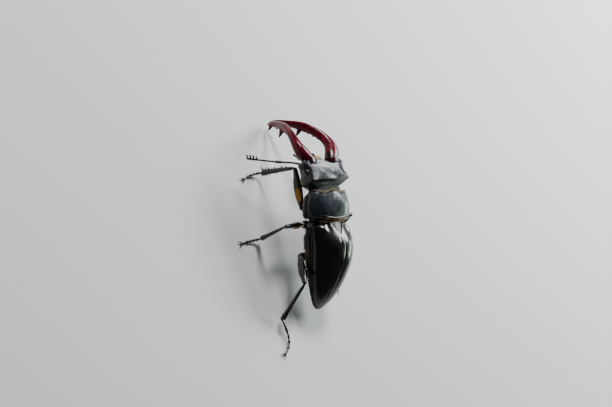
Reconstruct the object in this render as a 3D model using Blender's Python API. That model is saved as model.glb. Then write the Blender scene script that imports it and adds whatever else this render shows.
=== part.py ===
"""A large male stag beetle at life size, standing on the ground with its jaws lowered in front of it.

The scene is in metres with +Z up. The head faces -Y and the beetle's own left side is +X. The origin lies
on the ground under the middle of the whole beetle. The sizes below are in millimetres and degrees. The trunk
has a frame of its own: its origin is on the midline where pronotum and elytra meet, level with the elytra's
margins, and it is pitched nose up. The head sits on a pivot at the front of the pronotum.
"""

import math

import bmesh
import bpy
from mathutils import Matrix, Vector

MM = 0.001
GAP = 0.3  # the air left between neighbouring pieces

# Trunk
TRUNK_HEIGHT = 16.0
TRUNK_PITCH = 12.0
ELYTRA_START = 0.9
ELYTRA_LENGTH = 29.4
ELYTRA_HALF_WIDTH = 9.7
ELYTRA_WIDEST = 11.0  # how far back the elytra are at their widest
ELYTRA_RISE = 5.7  # height of the dome above the margins
ELYTRA_LIFT = 0.9  # the margins arch up a little along the flanks
ELYTRA_DROOP = 6.3  # how far the margins sink towards the tip
SCUTELLUM_HALF_WIDTH = 2.7
SCUTELLUM_END = 5.0
PRONOTUM_FRONT = -9.4
PRONOTUM_REAR = -0.45
PRONOTUM_RISE = 4.2
PRONOTUM_HALF_WIDTH = 10.1
PRONOTUM_FRONT_HALF_WIDTH = 8.5
PRONOTUM_REAR_HALF_WIDTH = 9.7
PRONOTUM_MARGIN = 0.4  # height of its side edges
BELLY_DEPTH = 6.3  # below the margins, at its deepest under the metathorax

# Head, in its own frame: the pivot is the origin
HEAD_PIVOT = (0.0, -9.6, 0.8)
HEAD_PITCH = 11.5
HEAD_ROLL = -2.0
HEAD_YAW = 3.5
HEAD_REAR = -0.85
HEAD_FRONT = -10.3
HEAD_HALF_WIDTH = 10.2
NECK_HALF_WIDTH = 6.6
EYE_AT = (-6.4, 0.3)  # along and up the side of the head
EYE_RADIUS = 1.25
RIDGE_AT = -3.4  # the sharp edge across the back of the head
RIDGE_HEIGHT = 4.2

# Jaws: the left one's centre line as a cubic curve, mirrored for the right one
JAW_CURVE = ((6.1, -10.9, 0.3), (13.0, -16.3, 0.0), (6.6, -25.8, -3.8), (2.1, -29.4, -17.5))
JAW_SWING = {"left": -8.0, "right": 3.0}  # turned about the upright axis through its base
JAW_WIDTH = 2.7  # half, at the base
JAW_DEPTH = 1.9
JAW_TIP = 0.45

# Antennae, in the head's frame: the scape runs from base to elbow, the rest from elbow to tip, and the
# club's leaves stand towards comb
ANTENNAE = {
    "left": {
        "base": (8.9, -10.9, -2.4), "elbow": (14.2, -12.8, -7.2),
        "tip": (23.4, -15.3, -10.8), "comb": (0.3, -0.9, 0.3),
    },
    "right": {
        "base": (-8.9, -10.9, -2.4), "elbow": (-14.6, -9.2, -6.2),
        "tip": (-17.4, -9.8, -14.4), "comb": (0.0, -1.0, 0.1),
    },
}

# Legs: "hip" is in the trunk's frame, the other points are on or above the ground. The knee follows from the
# two lengths and from the way it points.
LEGS = {
    "fore_left": {
        "hip": (6.3, -4.8, -5.7), "ankle": (11.0, -20.5, 1.9), "bend": (14.5, -20.5, 0.4),
        "toe": (19.0, -18.5, 0.2), "knee_points": (-0.15, -0.3, 1.0), "femur": 13.0, "tibia": 12.5,
    },
    "fore_right": {
        "hip": (-6.3, -4.8, -5.7), "ankle": (-13.5, -15.5, 1.9), "bend": (-16.5, -17.0, 0.4),
        "toe": (-20.5, -19.5, 0.2), "knee_points": (-0.2, -0.7, 1.0), "femur": 12.0, "tibia": 11.5,
    },
    "mid_left": {
        "hip": (5.6, 1.0, -6.0), "ankle": (18.4, 2.1, 1.9), "bend": (22.0, 2.4, 0.4),
        "toe": (26.8, 3.2, 0.2), "knee_points": (1.0, 0.05, 1.0), "femur": 13.0, "tibia": 11.0,
    },
    "mid_right": {
        "hip": (-5.6, 1.0, -6.0), "ankle": (-19.5, 1.0, 1.9), "bend": (-22.5, 2.0, 0.4),
        "toe": (-26.5, 4.0, 0.2), "knee_points": (-0.7, -0.45, 1.0), "femur": 13.0, "tibia": 11.5,
    },
    "hind_left": {
        "hip": (7.0, 11.5, -7.0), "ankle": (17.1, 29.5, 2.1), "bend": (11.5, 38.0, 0.3),
        "toe": (17.6, 40.6, 0.2), "knee_points": (0.15, 0.1, 1.0), "femur": 12.5, "tibia": 13.8,
    },
    "hind_right": {
        "hip": (-7.0, 11.5, -7.0), "ankle": (-20.0, 12.0, 1.9), "bend": (-20.0, 16.5, 0.4),
        "toe": (-16.6, 20.8, 0.2), "knee_points": (-0.8, -0.9, 1.0), "femur": 12.0, "tibia": 12.5,
    },
}
CLAW_LENGTH = 1.9

MATERIALS = {
    "jaw": ((0.16, 0.012, 0.014), 0.16),
    "head_shell": ((0.016, 0.020, 0.026), 0.42),
    "pronotum_shell": ((0.012, 0.016, 0.021), 0.38),
    "scutellum_shell": ((0.050, 0.042, 0.032), 0.60),
    "elytra_shell": ((0.010, 0.006, 0.006), 0.16),
    "underside": ((0.022, 0.016, 0.012), 0.45),
    "leg_shell": ((0.010, 0.009, 0.010), 0.24),
    "feeler_shell": ((0.013, 0.011, 0.012), 0.35),
    "eye_shell": ((0.010, 0.008, 0.007), 0.12),
}


# ---------------------------------------------------------------------------------------- numbers


def clamp(value, low=0.0, high=1.0):
    return max(low, min(high, value))


def mix(a, b, t):
    return a + (b - a) * t


def ease(t):
    t = clamp(t)
    return t * t * (3 - 2 * t)


def bump(value, centre, width):
    """1 at centre, falling smoothly to nothing a few widths away."""
    return math.exp(-(((value - centre) / width) ** 2))


def arch(t, power):
    """A rounded fall from 1 at t = 0 to 0 at t = 1; a higher power keeps it full for longer."""
    return (1 - clamp(t) ** power) ** (1 / power)


def signed_power(value, power):
    return math.copysign(abs(value) ** power, value)


def blend_points(points, weights):
    total = Vector((0, 0, 0))
    for point, weight in zip(points, weights):
        total += Vector(point) * weight
    return total


def cubic(points, t):
    u = 1 - t
    return blend_points(points, (u**3, 3 * u * u * t, 3 * u * t * t, t**3))


def quadratic(points, t):
    u = 1 - t
    return blend_points(points, (u * u, 2 * u * t, t * t))


# ---------------------------------------------------------------------------------------- objects


def clear_scene():
    for obj in list(bpy.data.objects):
        bpy.data.objects.remove(obj, do_unlink=True)


def material(name):
    found = bpy.data.materials.get(name)
    if found:
        return found
    colour, roughness = MATERIALS[name]
    made = bpy.data.materials.new(name)
    made.use_nodes = True
    shader = made.node_tree.nodes["Principled BSDF"]
    shader.inputs["Base Color"].default_value = (*colour, 1.0)
    shader.inputs["Roughness"].default_value = roughness
    made.diffuse_color = (*colour, 1.0)
    return made


def empty(name, parent=None):
    obj = bpy.data.objects.new(name, None)
    bpy.context.scene.collection.objects.link(obj)
    obj.parent = parent
    return obj


def mesh_object(name, bm, material_name, parent, helper=False):
    """Turns a bmesh in millimetres into an object in metres. A helper only cuts or joins."""
    bmesh.ops.scale(bm, vec=(MM, MM, MM), verts=bm.verts)
    bmesh.ops.recalc_face_normals(bm, faces=bm.faces)
    if not helper and bm.calc_volume(signed=True) < 0:
        bmesh.ops.reverse_faces(bm, faces=bm.faces)
    mesh = bpy.data.meshes.new(name)
    bm.to_mesh(mesh)
    bm.free()
    mesh.shade_smooth()
    mesh.set_sharp_from_angle(angle=math.radians(50))
    obj = bpy.data.objects.new(name, mesh)
    bpy.context.scene.collection.objects.link(obj)
    obj.parent = parent
    obj.data.materials.append(material(material_name))
    if helper:
        obj.hide_render = True
        obj.display_type = "WIRE"
    return obj


def add_loft(bm, rings):
    """Skins a list of rings of equal length and closes both ends with a fan."""
    rows = [[bm.verts.new(point) for point in ring] for ring in rings]
    count = len(rows[0])
    for row, following in zip(rows, rows[1:]):
        for i in range(count):
            j = (i + 1) % count
            bm.faces.new((row[i], row[j], following[j], following[i]))
    for row in (rows[0], rows[-1]):
        centre = bm.verts.new(sum((vert.co for vert in row), Vector()) / count)
        for i in range(count):
            bm.faces.new((row[i], row[(i + 1) % count], centre))


def loft(name, rings, material_name, parent):
    bm = bmesh.new()
    add_loft(bm, rings)
    return mesh_object(name, bm, material_name, parent)


def oval_ring(centre, along, side, half_side, half_up, count):
    """An ellipse across the direction along, its width measured towards side."""
    along = Vector(along).normalized()
    side = (Vector(side) - along * Vector(side).dot(along)).normalized()
    up = along.cross(side)
    ring = []
    for i in range(count):
        angle = 2 * math.pi * i / count
        ring.append(Vector(centre) + side * (half_side * math.cos(angle)) + up * (half_up * math.sin(angle)))
    return ring


def add_spike(bm, base, direction, length, radius, sides=5, hook=(0, 0, 0)):
    """A curved cone with a blunt tip; its root is sunk a little behind base so that it joins well."""
    base, direction, hook = Vector(base), Vector(direction).normalized(), Vector(hook)
    side = direction.orthogonal()
    rings = []
    for t, thickness in ((-0.25, 1.0), (0.5, 0.62), (1.0, 0.2)):
        centre = base + direction * (length * t) + hook * (max(t, 0) ** 2)
        rings.append(oval_ring(centre, direction, side, radius * thickness, radius * thickness, sides))
    add_loft(bm, rings)


def join_spikes(target, name, bm, parent):
    """Unites the spikes in bm with target, which keeps its own name and material."""
    helper = mesh_object(name, bm, target.data.materials[0].name, parent, helper=True)
    helper.location = target.location
    helper.rotation_euler = target.rotation_euler
    union = target.modifiers.new("join " + name, "BOOLEAN")
    union.operation = "UNION"
    union.solver = "EXACT"
    union.use_self = True  # roots of neighbouring spikes may cross
    union.object = helper


# ------------------------------------------------------------------------------------------ trunk


def elytra_half_width(y):
    if y < ELYTRA_WIDEST:
        shoulder = 0.09 * (1 - y / ELYTRA_WIDEST) ** 2.2
        corner = 0.10 * (1 - ease((y - ELYTRA_START) / 1.6))
        return ELYTRA_HALF_WIDTH * (1 - shoulder - corner)
    return ELYTRA_HALF_WIDTH * arch((y - ELYTRA_WIDEST) / (ELYTRA_LENGTH - ELYTRA_WIDEST), 1.75)


def elytra_rise(y):
    full_at = 9.0
    if y < full_at:
        return ELYTRA_RISE * (0.62 + 0.38 * ease((y - ELYTRA_START) / (full_at - ELYTRA_START)) ** 0.6)
    return ELYTRA_RISE * arch((y - full_at) / (ELYTRA_LENGTH - full_at), 1.55)


def elytra_margin(y):
    return ELYTRA_LIFT * bump(y, 10.0, 7.0) - ELYTRA_DROOP * clamp(y / ELYTRA_LENGTH) ** 3


def elytra_top(x, y):
    across = clamp(abs(x) / elytra_half_width(y)) ** 2.3
    return elytra_margin(y) + elytra_rise(y) * (1 - across) ** 0.5


def scutellum_half_width(y):
    return SCUTELLUM_HALF_WIDTH * arch((y - ELYTRA_START) / (SCUTELLUM_END - ELYTRA_START), 1.3)


def build_elytron(side, trunk):
    sign = 1 if side == "left" else -1
    stations, across = 15, 9
    rings = []
    for i in range(stations):
        y = mix(ELYTRA_START, ELYTRA_LENGTH - 0.12, 1 - (1 - i / (stations - 1)) ** 1.5)
        inner = GAP / 2
        if y < SCUTELLUM_END:
            inner = max(inner, scutellum_half_width(y) + GAP * 0.7)
        outer = elytra_half_width(y)
        ring = []
        for k in range(across):
            x = mix(inner, outer, math.sin(0.5 * math.pi * k / (across - 1)))
            ring.append((sign * x, y, elytra_top(x, y)))
        under = elytra_margin(y) - 0.25
        ring.append((sign * (outer - 0.12), y, under - 0.2))
        ring.append((sign * mix(inner, outer, 0.5), y, under))
        ring.append((sign * inner, y, under))
        rings.append(ring)
    loft("elytron_" + side, rings, "elytra_shell", trunk)


def build_scutellum(trunk):
    rings = []
    for t in (0.0, 0.3, 0.55, 0.78, 0.94):
        y = mix(ELYTRA_START, SCUTELLUM_END, t)
        half = max(scutellum_half_width(y) - GAP * 0.4, 0.25)
        top = elytra_top(0, y) - 0.35
        crown = 0.25 * half / SCUTELLUM_HALF_WIDTH
        rings.append(
            (
                (half, y, top), (half * 0.5, y, top + crown), (-half * 0.5, y, top + crown), (-half, y, top),
                (-half * 0.8, y, top - 2.2), (half * 0.8, y, top - 2.2),
            )
        )
    loft("scutellum", rings, "scutellum_shell", trunk)


def pronotum_half_width(t):
    """From the front edge, t = 0, to the rear edge, t = 1."""
    straight = mix(PRONOTUM_FRONT_HALF_WIDTH, PRONOTUM_REAR_HALF_WIDTH, t)
    middle = (PRONOTUM_FRONT_HALF_WIDTH + PRONOTUM_REAR_HALF_WIDTH) / 2
    return straight + (PRONOTUM_HALF_WIDTH - middle) * math.sin(math.pi * t**1.25)


def build_pronotum(trunk):
    count = 28
    rings = []
    for t in (0.0, 0.03, 0.12, 0.28, 0.46, 0.64, 0.8, 0.92, 0.98, 1.0):
        edge = arch(abs(2 * t - 1) ** 6, 2)  # rolls both edges in
        half = pronotum_half_width(t) * mix(0.965, 1.0, edge)
        crown = 0.80 + 0.20 * math.sin(math.pi * (0.1 + 0.85 * t))
        rise = PRONOTUM_RISE * crown * mix(0.90, 1.0, edge)
        ring = []
        for i in range(count):
            angle = 2 * math.pi * i / count
            across = signed_power(math.cos(angle), 0.8)
            height = math.sin(angle)
            z = PRONOTUM_MARGIN + (rise * height if height > 0 else 1.1 * signed_power(height, 0.5))
            front_edge = -0.55 * math.cos(2 * math.pi * across) * max(height, 0) ** 0.3
            rear_edge = 0.5 * math.cos(math.pi * across) - 0.1
            y = mix(PRONOTUM_FRONT, PRONOTUM_REAR, t) + mix(front_edge, rear_edge, ease(t))
            ring.append((half * across, y, z))
        rings.append(ring)
    loft("pronotum", rings, "pronotum_shell", trunk)


def belly_ring(y, half_width, top, bottom, count=14):
    """An oval standing across the trunk between two heights: boxy above, rounder below."""
    widest = mix(top, bottom, 0.3)
    ring = []
    for i in range(count):
        angle = 2 * math.pi * i / count
        up = math.sin(angle)
        x = half_width * signed_power(math.cos(angle), 0.5 if up > 0 else 0.85)
        z = widest + (top - widest) * up**0.5 if up > 0 else widest - (widest - bottom) * abs(up) ** 0.9
        ring.append((x, y, z))
    return ring


def belly_bottom(y):
    """The underside's height along the trunk."""
    if y < 9:
        return -BELLY_DEPTH + 1.5 * ease((9 - y) / 18)
    return elytra_margin(y) - mix(BELLY_DEPTH, 1.6, ease((y - 9) / 20) ** 1.2)


def build_underside(trunk):
    top_gap = 0.8 + GAP
    front = PRONOTUM_FRONT + 0.2
    rings = []
    for y, inset, lift in (
        (front, 0.78, 0.9), (front + 1.2, 0.86, 0.2), (-5.0, 0.88, 0), (-1.4, 0.82, 0), (-0.9, 0.76, 0.3),
    ):
        t = (y - PRONOTUM_FRONT) / (PRONOTUM_REAR - PRONOTUM_FRONT)
        rings.append(belly_ring(y, pronotum_half_width(t) * inset, -top_gap, belly_bottom(y) + lift))
    loft("prosternum", rings, "underside", trunk)

    # The waist shows above, between pronotum and elytra, and ends under the elytra
    rings = []
    for y, half, top in ((0.35, 6.4, 2.6), (0.6, 6.6, 2.7)):
        rings.append(belly_ring(y, half, top, belly_bottom(y) + 0.3))
    for y in (0.75, 2.2, 3.6):
        rings.append(belly_ring(y, elytra_half_width(y) * 0.80, elytra_margin(y) - top_gap, belly_bottom(y)))
    loft("mesothorax", rings, "underside", trunk)

    edges = (3.9, 12.2, 15.8, 19.0, 22.0, 24.8, 28.3)
    names = ("metathorax", "abdomen_1", "abdomen_2", "abdomen_3", "abdomen_4", "abdomen_5")
    for name, start, end in zip(names, edges, edges[1:]):
        rings = []
        for t, inset in ((0.0, 0.95), (0.15, 1.0), (0.55, 1.0), (1.0, 0.975)):
            y = mix(start, end - GAP, t)
            half = max(elytra_half_width(y) - 1.1, 0.8) * inset
            top = elytra_margin(y) - top_gap
            rings.append(belly_ring(y, half, top, mix(top, belly_bottom(y), inset)))
        loft(name, rings, "underside", trunk)


# ------------------------------------------------------------------------------------------- head


def head_half_width(y):
    """Neck, temples, the pinch behind the eyes, and the corners beside the jaws."""
    neck = mix(NECK_HALF_WIDTH, HEAD_HALF_WIDTH, ease((HEAD_REAR - y) / (HEAD_REAR - RIDGE_AT)))
    pinch = 0.65 * bump(y, -6.2, 1.6)
    corner = 0.75 * bump(y, -9.4, 1.1)
    taper = 0.45 * ease((RIDGE_AT - y) / (RIDGE_AT - HEAD_FRONT))
    return neck - pinch + corner - taper


def head_top(across, y):
    """Height of the upper surface; across runs from -1 to 1 over the width."""
    side = abs(across)
    plate = mix(RIDGE_HEIGHT - 0.8, 1.9, clamp((RIDGE_AT - y) / (RIDGE_AT - HEAD_FRONT)))
    if y > RIDGE_AT:
        plate = mix(RIDGE_HEIGHT - 0.8, 2.3, ease((y - RIDGE_AT) / 1.1))
    lobes = 0.8 * bump(side, 0.52, 0.34) * bump(y, RIDGE_AT, 0.9)
    temple = 0.5 * bump(side, 0.92, 0.12) * bump(y, RIDGE_AT, 1.2)
    rim = 0.45 * bump(side, 0.86, 0.13) * ease((RIDGE_AT - y) / 2.0)
    hollow = 0.7 * (1 - side**2) * bump(y, -8.2, 2.6)
    return plate + lobes + temple + rim - hollow


def build_head(pivot):
    count = 24
    rings = []
    for y, shrink in (
        (HEAD_REAR, 0.9), (-1.5, 0.96), (-2.1, 1.0), (-2.8, 1.0), (RIDGE_AT, 1.0), (-4.1, 1.0), (-5.2, 1.0),
        (-6.4, 1.0), (-7.7, 1.0), (-9.0, 1.0), (-9.9, 0.98), (HEAD_FRONT, 0.93),
    ):
        half = head_half_width(y) * shrink
        bottom = mix(-5.2, -3.6, ease((-4.5 - y) / 6)) * shrink
        ring = []
        for i in range(count):
            angle = 2 * math.pi * i / count
            across = signed_power(math.cos(angle), 0.72)
            height = math.sin(angle)
            scoop = 0.9 * bump(abs(across), 0.42, 0.26) * ease((-8.6 - y) / 1.7)
            if height >= 0:
                z = head_top(across, y) * height**0.22 * (0.86 + 1.4 * (shrink - 0.9))
            else:
                z = bottom * abs(height) ** 0.75
            narrowing = 1 - 0.07 * clamp(-height)
            ring.append((half * across * narrowing, y + scoop * clamp(height + 0.5), z))
        rings.append(ring)
    loft("head", rings, "head_shell", pivot)


def build_mouth(pivot):
    rings = []
    for y, half, top in ((HEAD_FRONT - GAP, 2.2, 0.2), (-11.1, 1.8, 0.0), (-11.5, 1.0, -0.4)):
        rings.append(belly_ring(y, half, top, -1.6, count=10))
    loft("clypeus", rings, "head_shell", pivot)
    rings = []
    for y, half, top in ((HEAD_FRONT - GAP, 3.0, -2.2), (-11.3, 2.6, -2.4), (-12.0, 1.8, -2.7)):
        rings.append(belly_ring(y, half, top, -3.6, count=10))
    loft("mentum", rings, "head_shell", pivot)
    palps = {
        "palp_maxillary": ((3.9, -10.9, -3.0), (5.4, -12.6, -4.2), (5.0, -14.6, -6.0)),
        "palp_labial": ((1.2, -12.5, -3.2), (1.9, -13.2, -4.2), (1.6, -14.0, -5.4)),
    }
    for name, path in palps.items():
        for side, sign in (("left", 1), ("right", -1)):
            points = [(sign * x, y, z) for x, y, z in path]
            rings = []
            for k in range(6):
                t = k / 5
                radius = 0.30 + 0.09 * math.sin(math.pi * 3 * t) ** 2
                along = quadratic(points, t + 0.01) - quadratic(points, t - 0.01)
                rings.append(oval_ring(quadratic(points, t), along, (1, 0, 0), radius, radius, 6))
            loft(name + "_" + side, rings, "feeler_shell", pivot)


def build_eye(side, pivot):
    """A low round button standing on the side of the head."""
    sign = 1 if side == "left" else -1
    y, z = EYE_AT
    base = max(head_half_width(y - EYE_RADIUS), head_half_width(y + EYE_RADIUS)) + GAP / 2
    rings = []
    for out, radius in ((0.0, EYE_RADIUS), (0.35, 1.2), (0.65, 0.95), (0.85, 0.5)):
        rings.append(oval_ring((sign * (base + out), y, z), (1, 0, 0), (0, 1, 0), radius, radius * 0.95, 10))
    loft("eye_" + side, rings, "eye_shell", pivot)


def jaw_points(side):
    """The centre line's four control points, swung about the jaw's base."""
    sign = 1 if side == "left" else -1
    points = [Vector((sign * x, y, z)) for x, y, z in JAW_CURVE]
    swing = Matrix.Rotation(math.radians(JAW_SWING[side]), 3, "Z")
    return [points[0] + swing @ (point - points[0]) for point in points]


def jaw_frame(points, t):
    """Centre, direction, and the concave side's direction, towards which the teeth point."""
    step = 0.01
    here, before, after = cubic(points, t), cubic(points, t - step), cubic(points, t + step)
    along = (after - before).normalized()
    bend = before + after - here * 2
    concave = (bend - along * bend.dot(along)).normalized()
    return here, along, concave


def jaw_size(t):
    """Half width and half depth along the jaw: stout at the base, waisted, swollen at the big tooth."""
    swell = 0.35 * bump(t, 0.70, 0.10) + 0.25 * bump(t, 0.92, 0.07)
    width = mix(JAW_WIDTH, 1.75, ease(t / 0.3)) - 0.7 * ease((t - 0.3) / 0.6) + swell
    depth = mix(JAW_DEPTH, 1.35, ease(t / 0.3)) - 0.45 * ease((t - 0.3) / 0.6)
    end = arch((t - 0.90) / 0.105, 2.0) if t > 0.90 else 1.0
    return max(width * end, JAW_TIP), max(depth * end, JAW_TIP)


def build_jaw(side, pivot):
    sign = 1 if side == "left" else -1
    points = jaw_points(side)
    rings = []
    stations = 17
    for k in range(stations):
        t = k / (stations - 1)
        here, along, concave = jaw_frame(points, clamp(t, 0.01, 0.99))
        turned = ease(t / 0.22)
        along = Vector((0, -1, 0)).lerp(along, turned)
        inward = Vector((-sign, 0, 0)).lerp(concave, ease((t - 0.1) / 0.5))
        width, depth = jaw_size(t)
        rings.append(oval_ring(here, along, inward, width, depth, 10))
    jaw = loft("mandible_" + side, rings, "jaw", pivot)

    # Small teeth, the big tooth, more small teeth, and the inner prong of the fork
    teeth = bmesh.new()
    for t, length, radius in (
        (0.36, 0.9, 0.5), (0.44, 1.1, 0.5), (0.52, 1.2, 0.5), (0.60, 1.0, 0.45), (0.71, 3.1, 0.9),
        (0.80, 0.9, 0.4), (0.93, 2.0, 0.7),
    ):
        here, along, concave = jaw_frame(points, t)
        inward = Vector((-sign, 0, 0)).lerp(concave, ease((t - 0.1) / 0.5))
        inward = (inward - along * inward.dot(along)).normalized()
        width = jaw_size(t)[0]
        hook = along * (0.30 * length)
        add_spike(teeth, here + inward * (width * 0.75), inward, length, radius, hook=hook)
    join_spikes(jaw, "teeth_" + side, teeth, pivot)


# --------------------------------------------------------------------------------------- antennae


def build_antenna(side, pivot):
    shape = ANTENNAE[side]
    base, elbow, tip = (Vector(shape[key]) for key in ("base", "elbow", "tip"))
    scape, feeler = elbow - base, tip - elbow
    rings = []
    for t, radius in ((0.0, 0.28), (0.06, 0.36), (0.5, 0.36), (0.88, 0.46), (0.95, 0.38), (0.97, 0.26)):
        rings.append(oval_ring(base + scape * t, scape, feeler, radius, radius, 7))
    loft("antenna_" + side + "_scape", rings, "feeler_shell", pivot)

    joints, club_at = 6, 0.58
    rings = []
    for k in range(joints * 2):
        t = mix(0.08, club_at - 0.03, k / (joints * 2 - 1))
        radius = 0.27 if k % 2 == 0 else 0.36
        rings.append(oval_ring(elbow + feeler * t, feeler, scape, radius, radius, 6))
    loft("antenna_" + side + "_funicle", rings, "feeler_shell", pivot)

    rings = []
    for t, radius in ((0.0, 0.26), (0.1, 0.36), (0.9, 0.34), (1.0, 0.24)):
        point = elbow + feeler * mix(club_at, 1.0, t)
        rings.append(oval_ring(point, feeler, scape, radius, radius, 7))
    club = loft("antenna_" + side + "_club", rings, "feeler_shell", pivot)
    leaves = bmesh.new()
    comb = Vector(shape["comb"]).normalized()
    for k, length in enumerate((1.1, 1.5, 1.6, 1.5)):
        centre = elbow + feeler * mix(club_at, 1.0, 0.12 + 0.265 * k)
        rings = []
        for t, half in ((-0.1, 0.42), (0.6, 0.52), (1.0, 0.3)):
            rings.append(oval_ring(centre + comb * (length * t), comb, feeler, 0.26, half, 6))
        add_loft(leaves, rings)
    join_spikes(club, "leaves_" + side, leaves, pivot)


# ------------------------------------------------------------------------------------------- legs


def knee_of(hip, ankle, femur, tibia, points_to):
    """Where two lengths meet, on the side of the line from hip to ankle that points_to gives."""
    line = ankle - hip
    reach = line.length
    line.normalize()
    before = (femur**2 - tibia**2 + reach**2) / (2 * reach)
    height = math.sqrt(max(femur**2 - before**2, 0.01))
    out = (points_to - line * points_to.dot(line)).normalized()
    return hip + line * before + out * height


def facing(start, end, up):
    """A rotation whose +Z runs from start to end and whose +X lies as near to up as it can."""
    z_axis = (end - start).normalized()
    x_axis = (up - z_axis * up.dot(z_axis)).normalized()
    y_axis = z_axis.cross(x_axis)
    return Matrix((x_axis, y_axis, z_axis)).transposed().to_euler()


def build_coxa(name, hip, sign, trunk):
    """A roller lying across the trunk under the leg's own plate, ending just short of the femur."""
    inner, outer = 1.0, abs(hip[0]) - 0.9
    rings = []
    for t, radius in ((0.0, 0.7), (0.12, 1.15), (0.6, 1.3), (0.9, 1.05), (1.0, 0.6)):
        centre = (sign * mix(inner, outer, t), hip[1], hip[2] - 1.2)
        rings.append(oval_ring(centre, (1, 0, 0), (0, 1, 0), radius * 1.15, radius * 0.8, 8))
    loft(name, rings, "leg_shell", trunk)


def build_femur(name, hip, knee, length, up, root):
    rings = []
    for t, width, depth in (
        (0.0, 0.55, 0.5), (0.06, 0.95, 0.75), (0.25, 1.45, 0.95), (0.5, 1.6, 1.0), (0.75, 1.35, 0.9),
        (0.92, 1.0, 0.75), (1.0, 0.5, 0.45),
    ):
        rings.append(oval_ring((0, 0, mix(0.5, length - 0.35, t)), (0, 0, 1), (1, 0, 0), width, depth, 8))
    femur = loft(name, rings, "leg_shell", root)
    femur.location = hip * MM
    femur.rotation_euler = facing(hip, knee, up)


def build_tibia(name, knee, ankle, length, up, spines, root):
    start, end = 1.35, length - 0.55
    rings = []
    for t, width, depth in (
        (0.0, 0.42, 0.4), (0.07, 0.72, 0.6), (0.3, 0.72, 0.6), (0.7, 0.85, 0.7),
        (0.93, 1.15, 0.8), (1.0, 0.9, 0.65),
    ):
        rings.append(oval_ring((0, 0, mix(start, end, t)), (0, 0, 1), (1, 0, 0), width, depth, 8))
    tibia = loft(name, rings, "leg_shell", root)
    tibia.location = knee * MM
    tibia.rotation_euler = facing(knee, ankle, up)
    spikes = bmesh.new()
    for t, spine_length in spines:
        add_spike(spikes, (0.55, 0, mix(start, end, t)), (1, 0, 0.55), spine_length, 0.38, sides=4)
    join_spikes(tibia, name + "_spines", spikes, root)


def build_tarsus(name, ankle, bend, toe, root):
    """Five joints in a row that come down to the ground and lie flat on it, then two claws."""
    path = (ankle, bend, toe)
    joints, per_joint = 5, ((0.05, 0.30), (0.55, 0.42), (0.92, 0.52))
    rings = []
    start = 0.10
    for joint in range(joints):
        share = (0.19, 0.16, 0.16, 0.17, 0.32)[joint]
        for within, radius in per_joint:
            t = start + share * within * 0.9
            slim = 0.85 if joint == joints - 1 else 1.0
            centre = quadratic(path, t)
            along = quadratic(path, t + 0.01) - quadratic(path, t - 0.01)
            side = along.cross(Vector((0, 0, 1)))
            rings.append(oval_ring(centre, along, side, radius * slim, radius * slim, 6))
        start += share * 0.9
    bm = bmesh.new()
    add_loft(bm, rings)
    for vert in bm.verts:
        vert.co.z = max(vert.co.z, 0)
        vert.co -= ankle
    tarsus = mesh_object(name, bm, "leg_shell", root)
    tarsus.location = ankle * MM

    tip = quadratic(path, 0.985)
    along = (quadratic(path, 1.0) - quadratic(path, 0.9)) * Vector((1, 1, 0))
    along.normalize()
    side = Vector((-along.y, along.x, 0))
    claws = bmesh.new()
    for sign in (1, -1):
        direction = along * 0.8 + side * (0.6 * sign)
        base = tip + Vector((0, 0, 0.45)) + side * (0.12 * sign)
        add_spike(claws, base, direction, CLAW_LENGTH, 0.27, sides=5, hook=(0, 0, -0.33))
    for vert in claws.verts:
        vert.co.z = max(vert.co.z, 0)
        vert.co -= ankle
    join_spikes(tarsus, name + "_claws", claws, root)


SPINES = {
    "fore": ((0.30, 0.9), (0.52, 1.1), (0.74, 1.4), (0.95, 2.0)),
    "mid": ((0.45, 1.1), (0.70, 1.2), (0.95, 1.3)),
    "hind": ((0.55, 1.0), (0.95, 1.2)),
}


def build_leg(name, shape, trunk, root):
    sign = 1 if name.endswith("left") else -1
    kind = name.split("_")[0]
    hip = trunk.matrix_world @ (Vector(shape["hip"]) * MM) / MM
    ankle, bend, toe = (Vector(shape[key]) for key in ("ankle", "bend", "toe"))
    up = Vector(shape["knee_points"])
    knee = knee_of(hip, ankle, shape["femur"], shape["tibia"], up)
    build_coxa("coxa_" + name, shape["hip"], sign, trunk)
    build_femur("femur_" + name, hip, knee, shape["femur"], up, root)
    build_tibia("tibia_" + name, knee, ankle, shape["tibia"], up, SPINES[kind], root)
    build_tarsus("tarsus_" + name, ankle, bend, toe, root)


# ------------------------------------------------------------------------------------------ whole


def centre_on_ground(root):
    """Moves everything so that the origin is at the bottom centre of the whole beetle's box."""
    bpy.context.view_layer.update()
    graph = bpy.context.evaluated_depsgraph_get()
    corners = []
    for obj in bpy.data.objects:
        if obj.type == "MESH" and not obj.hide_render:
            mesh = obj.evaluated_get(graph).to_mesh()
            corners.extend(obj.matrix_world @ vert.co for vert in mesh.vertices)
    low = [min(corner[axis] for corner in corners) for axis in range(3)]
    high = [max(corner[axis] for corner in corners) for axis in range(3)]
    root.location = (-(low[0] + high[0]) / 2, -(low[1] + high[1]) / 2, -low[2])


def main():
    clear_scene()
    root = empty("root")
    trunk = empty("trunk", root)
    trunk.location = (0, 0, TRUNK_HEIGHT * MM)
    trunk.rotation_euler = (math.radians(-TRUNK_PITCH), 0, 0)
    pivot = empty("head_pivot", trunk)
    pivot.location = Vector(HEAD_PIVOT) * MM
    pivot.rotation_euler = (math.radians(HEAD_PITCH), math.radians(HEAD_ROLL), math.radians(HEAD_YAW))
    bpy.context.view_layer.update()

    build_pronotum(trunk)
    build_scutellum(trunk)
    build_underside(trunk)
    build_head(pivot)
    build_mouth(pivot)
    for side in ("left", "right"):
        build_elytron(side, trunk)
        build_eye(side, pivot)
        build_jaw(side, pivot)
        build_antenna(side, pivot)
    for name, shape in LEGS.items():
        build_leg(name, shape, trunk, root)
    centre_on_ground(root)


main()
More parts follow.
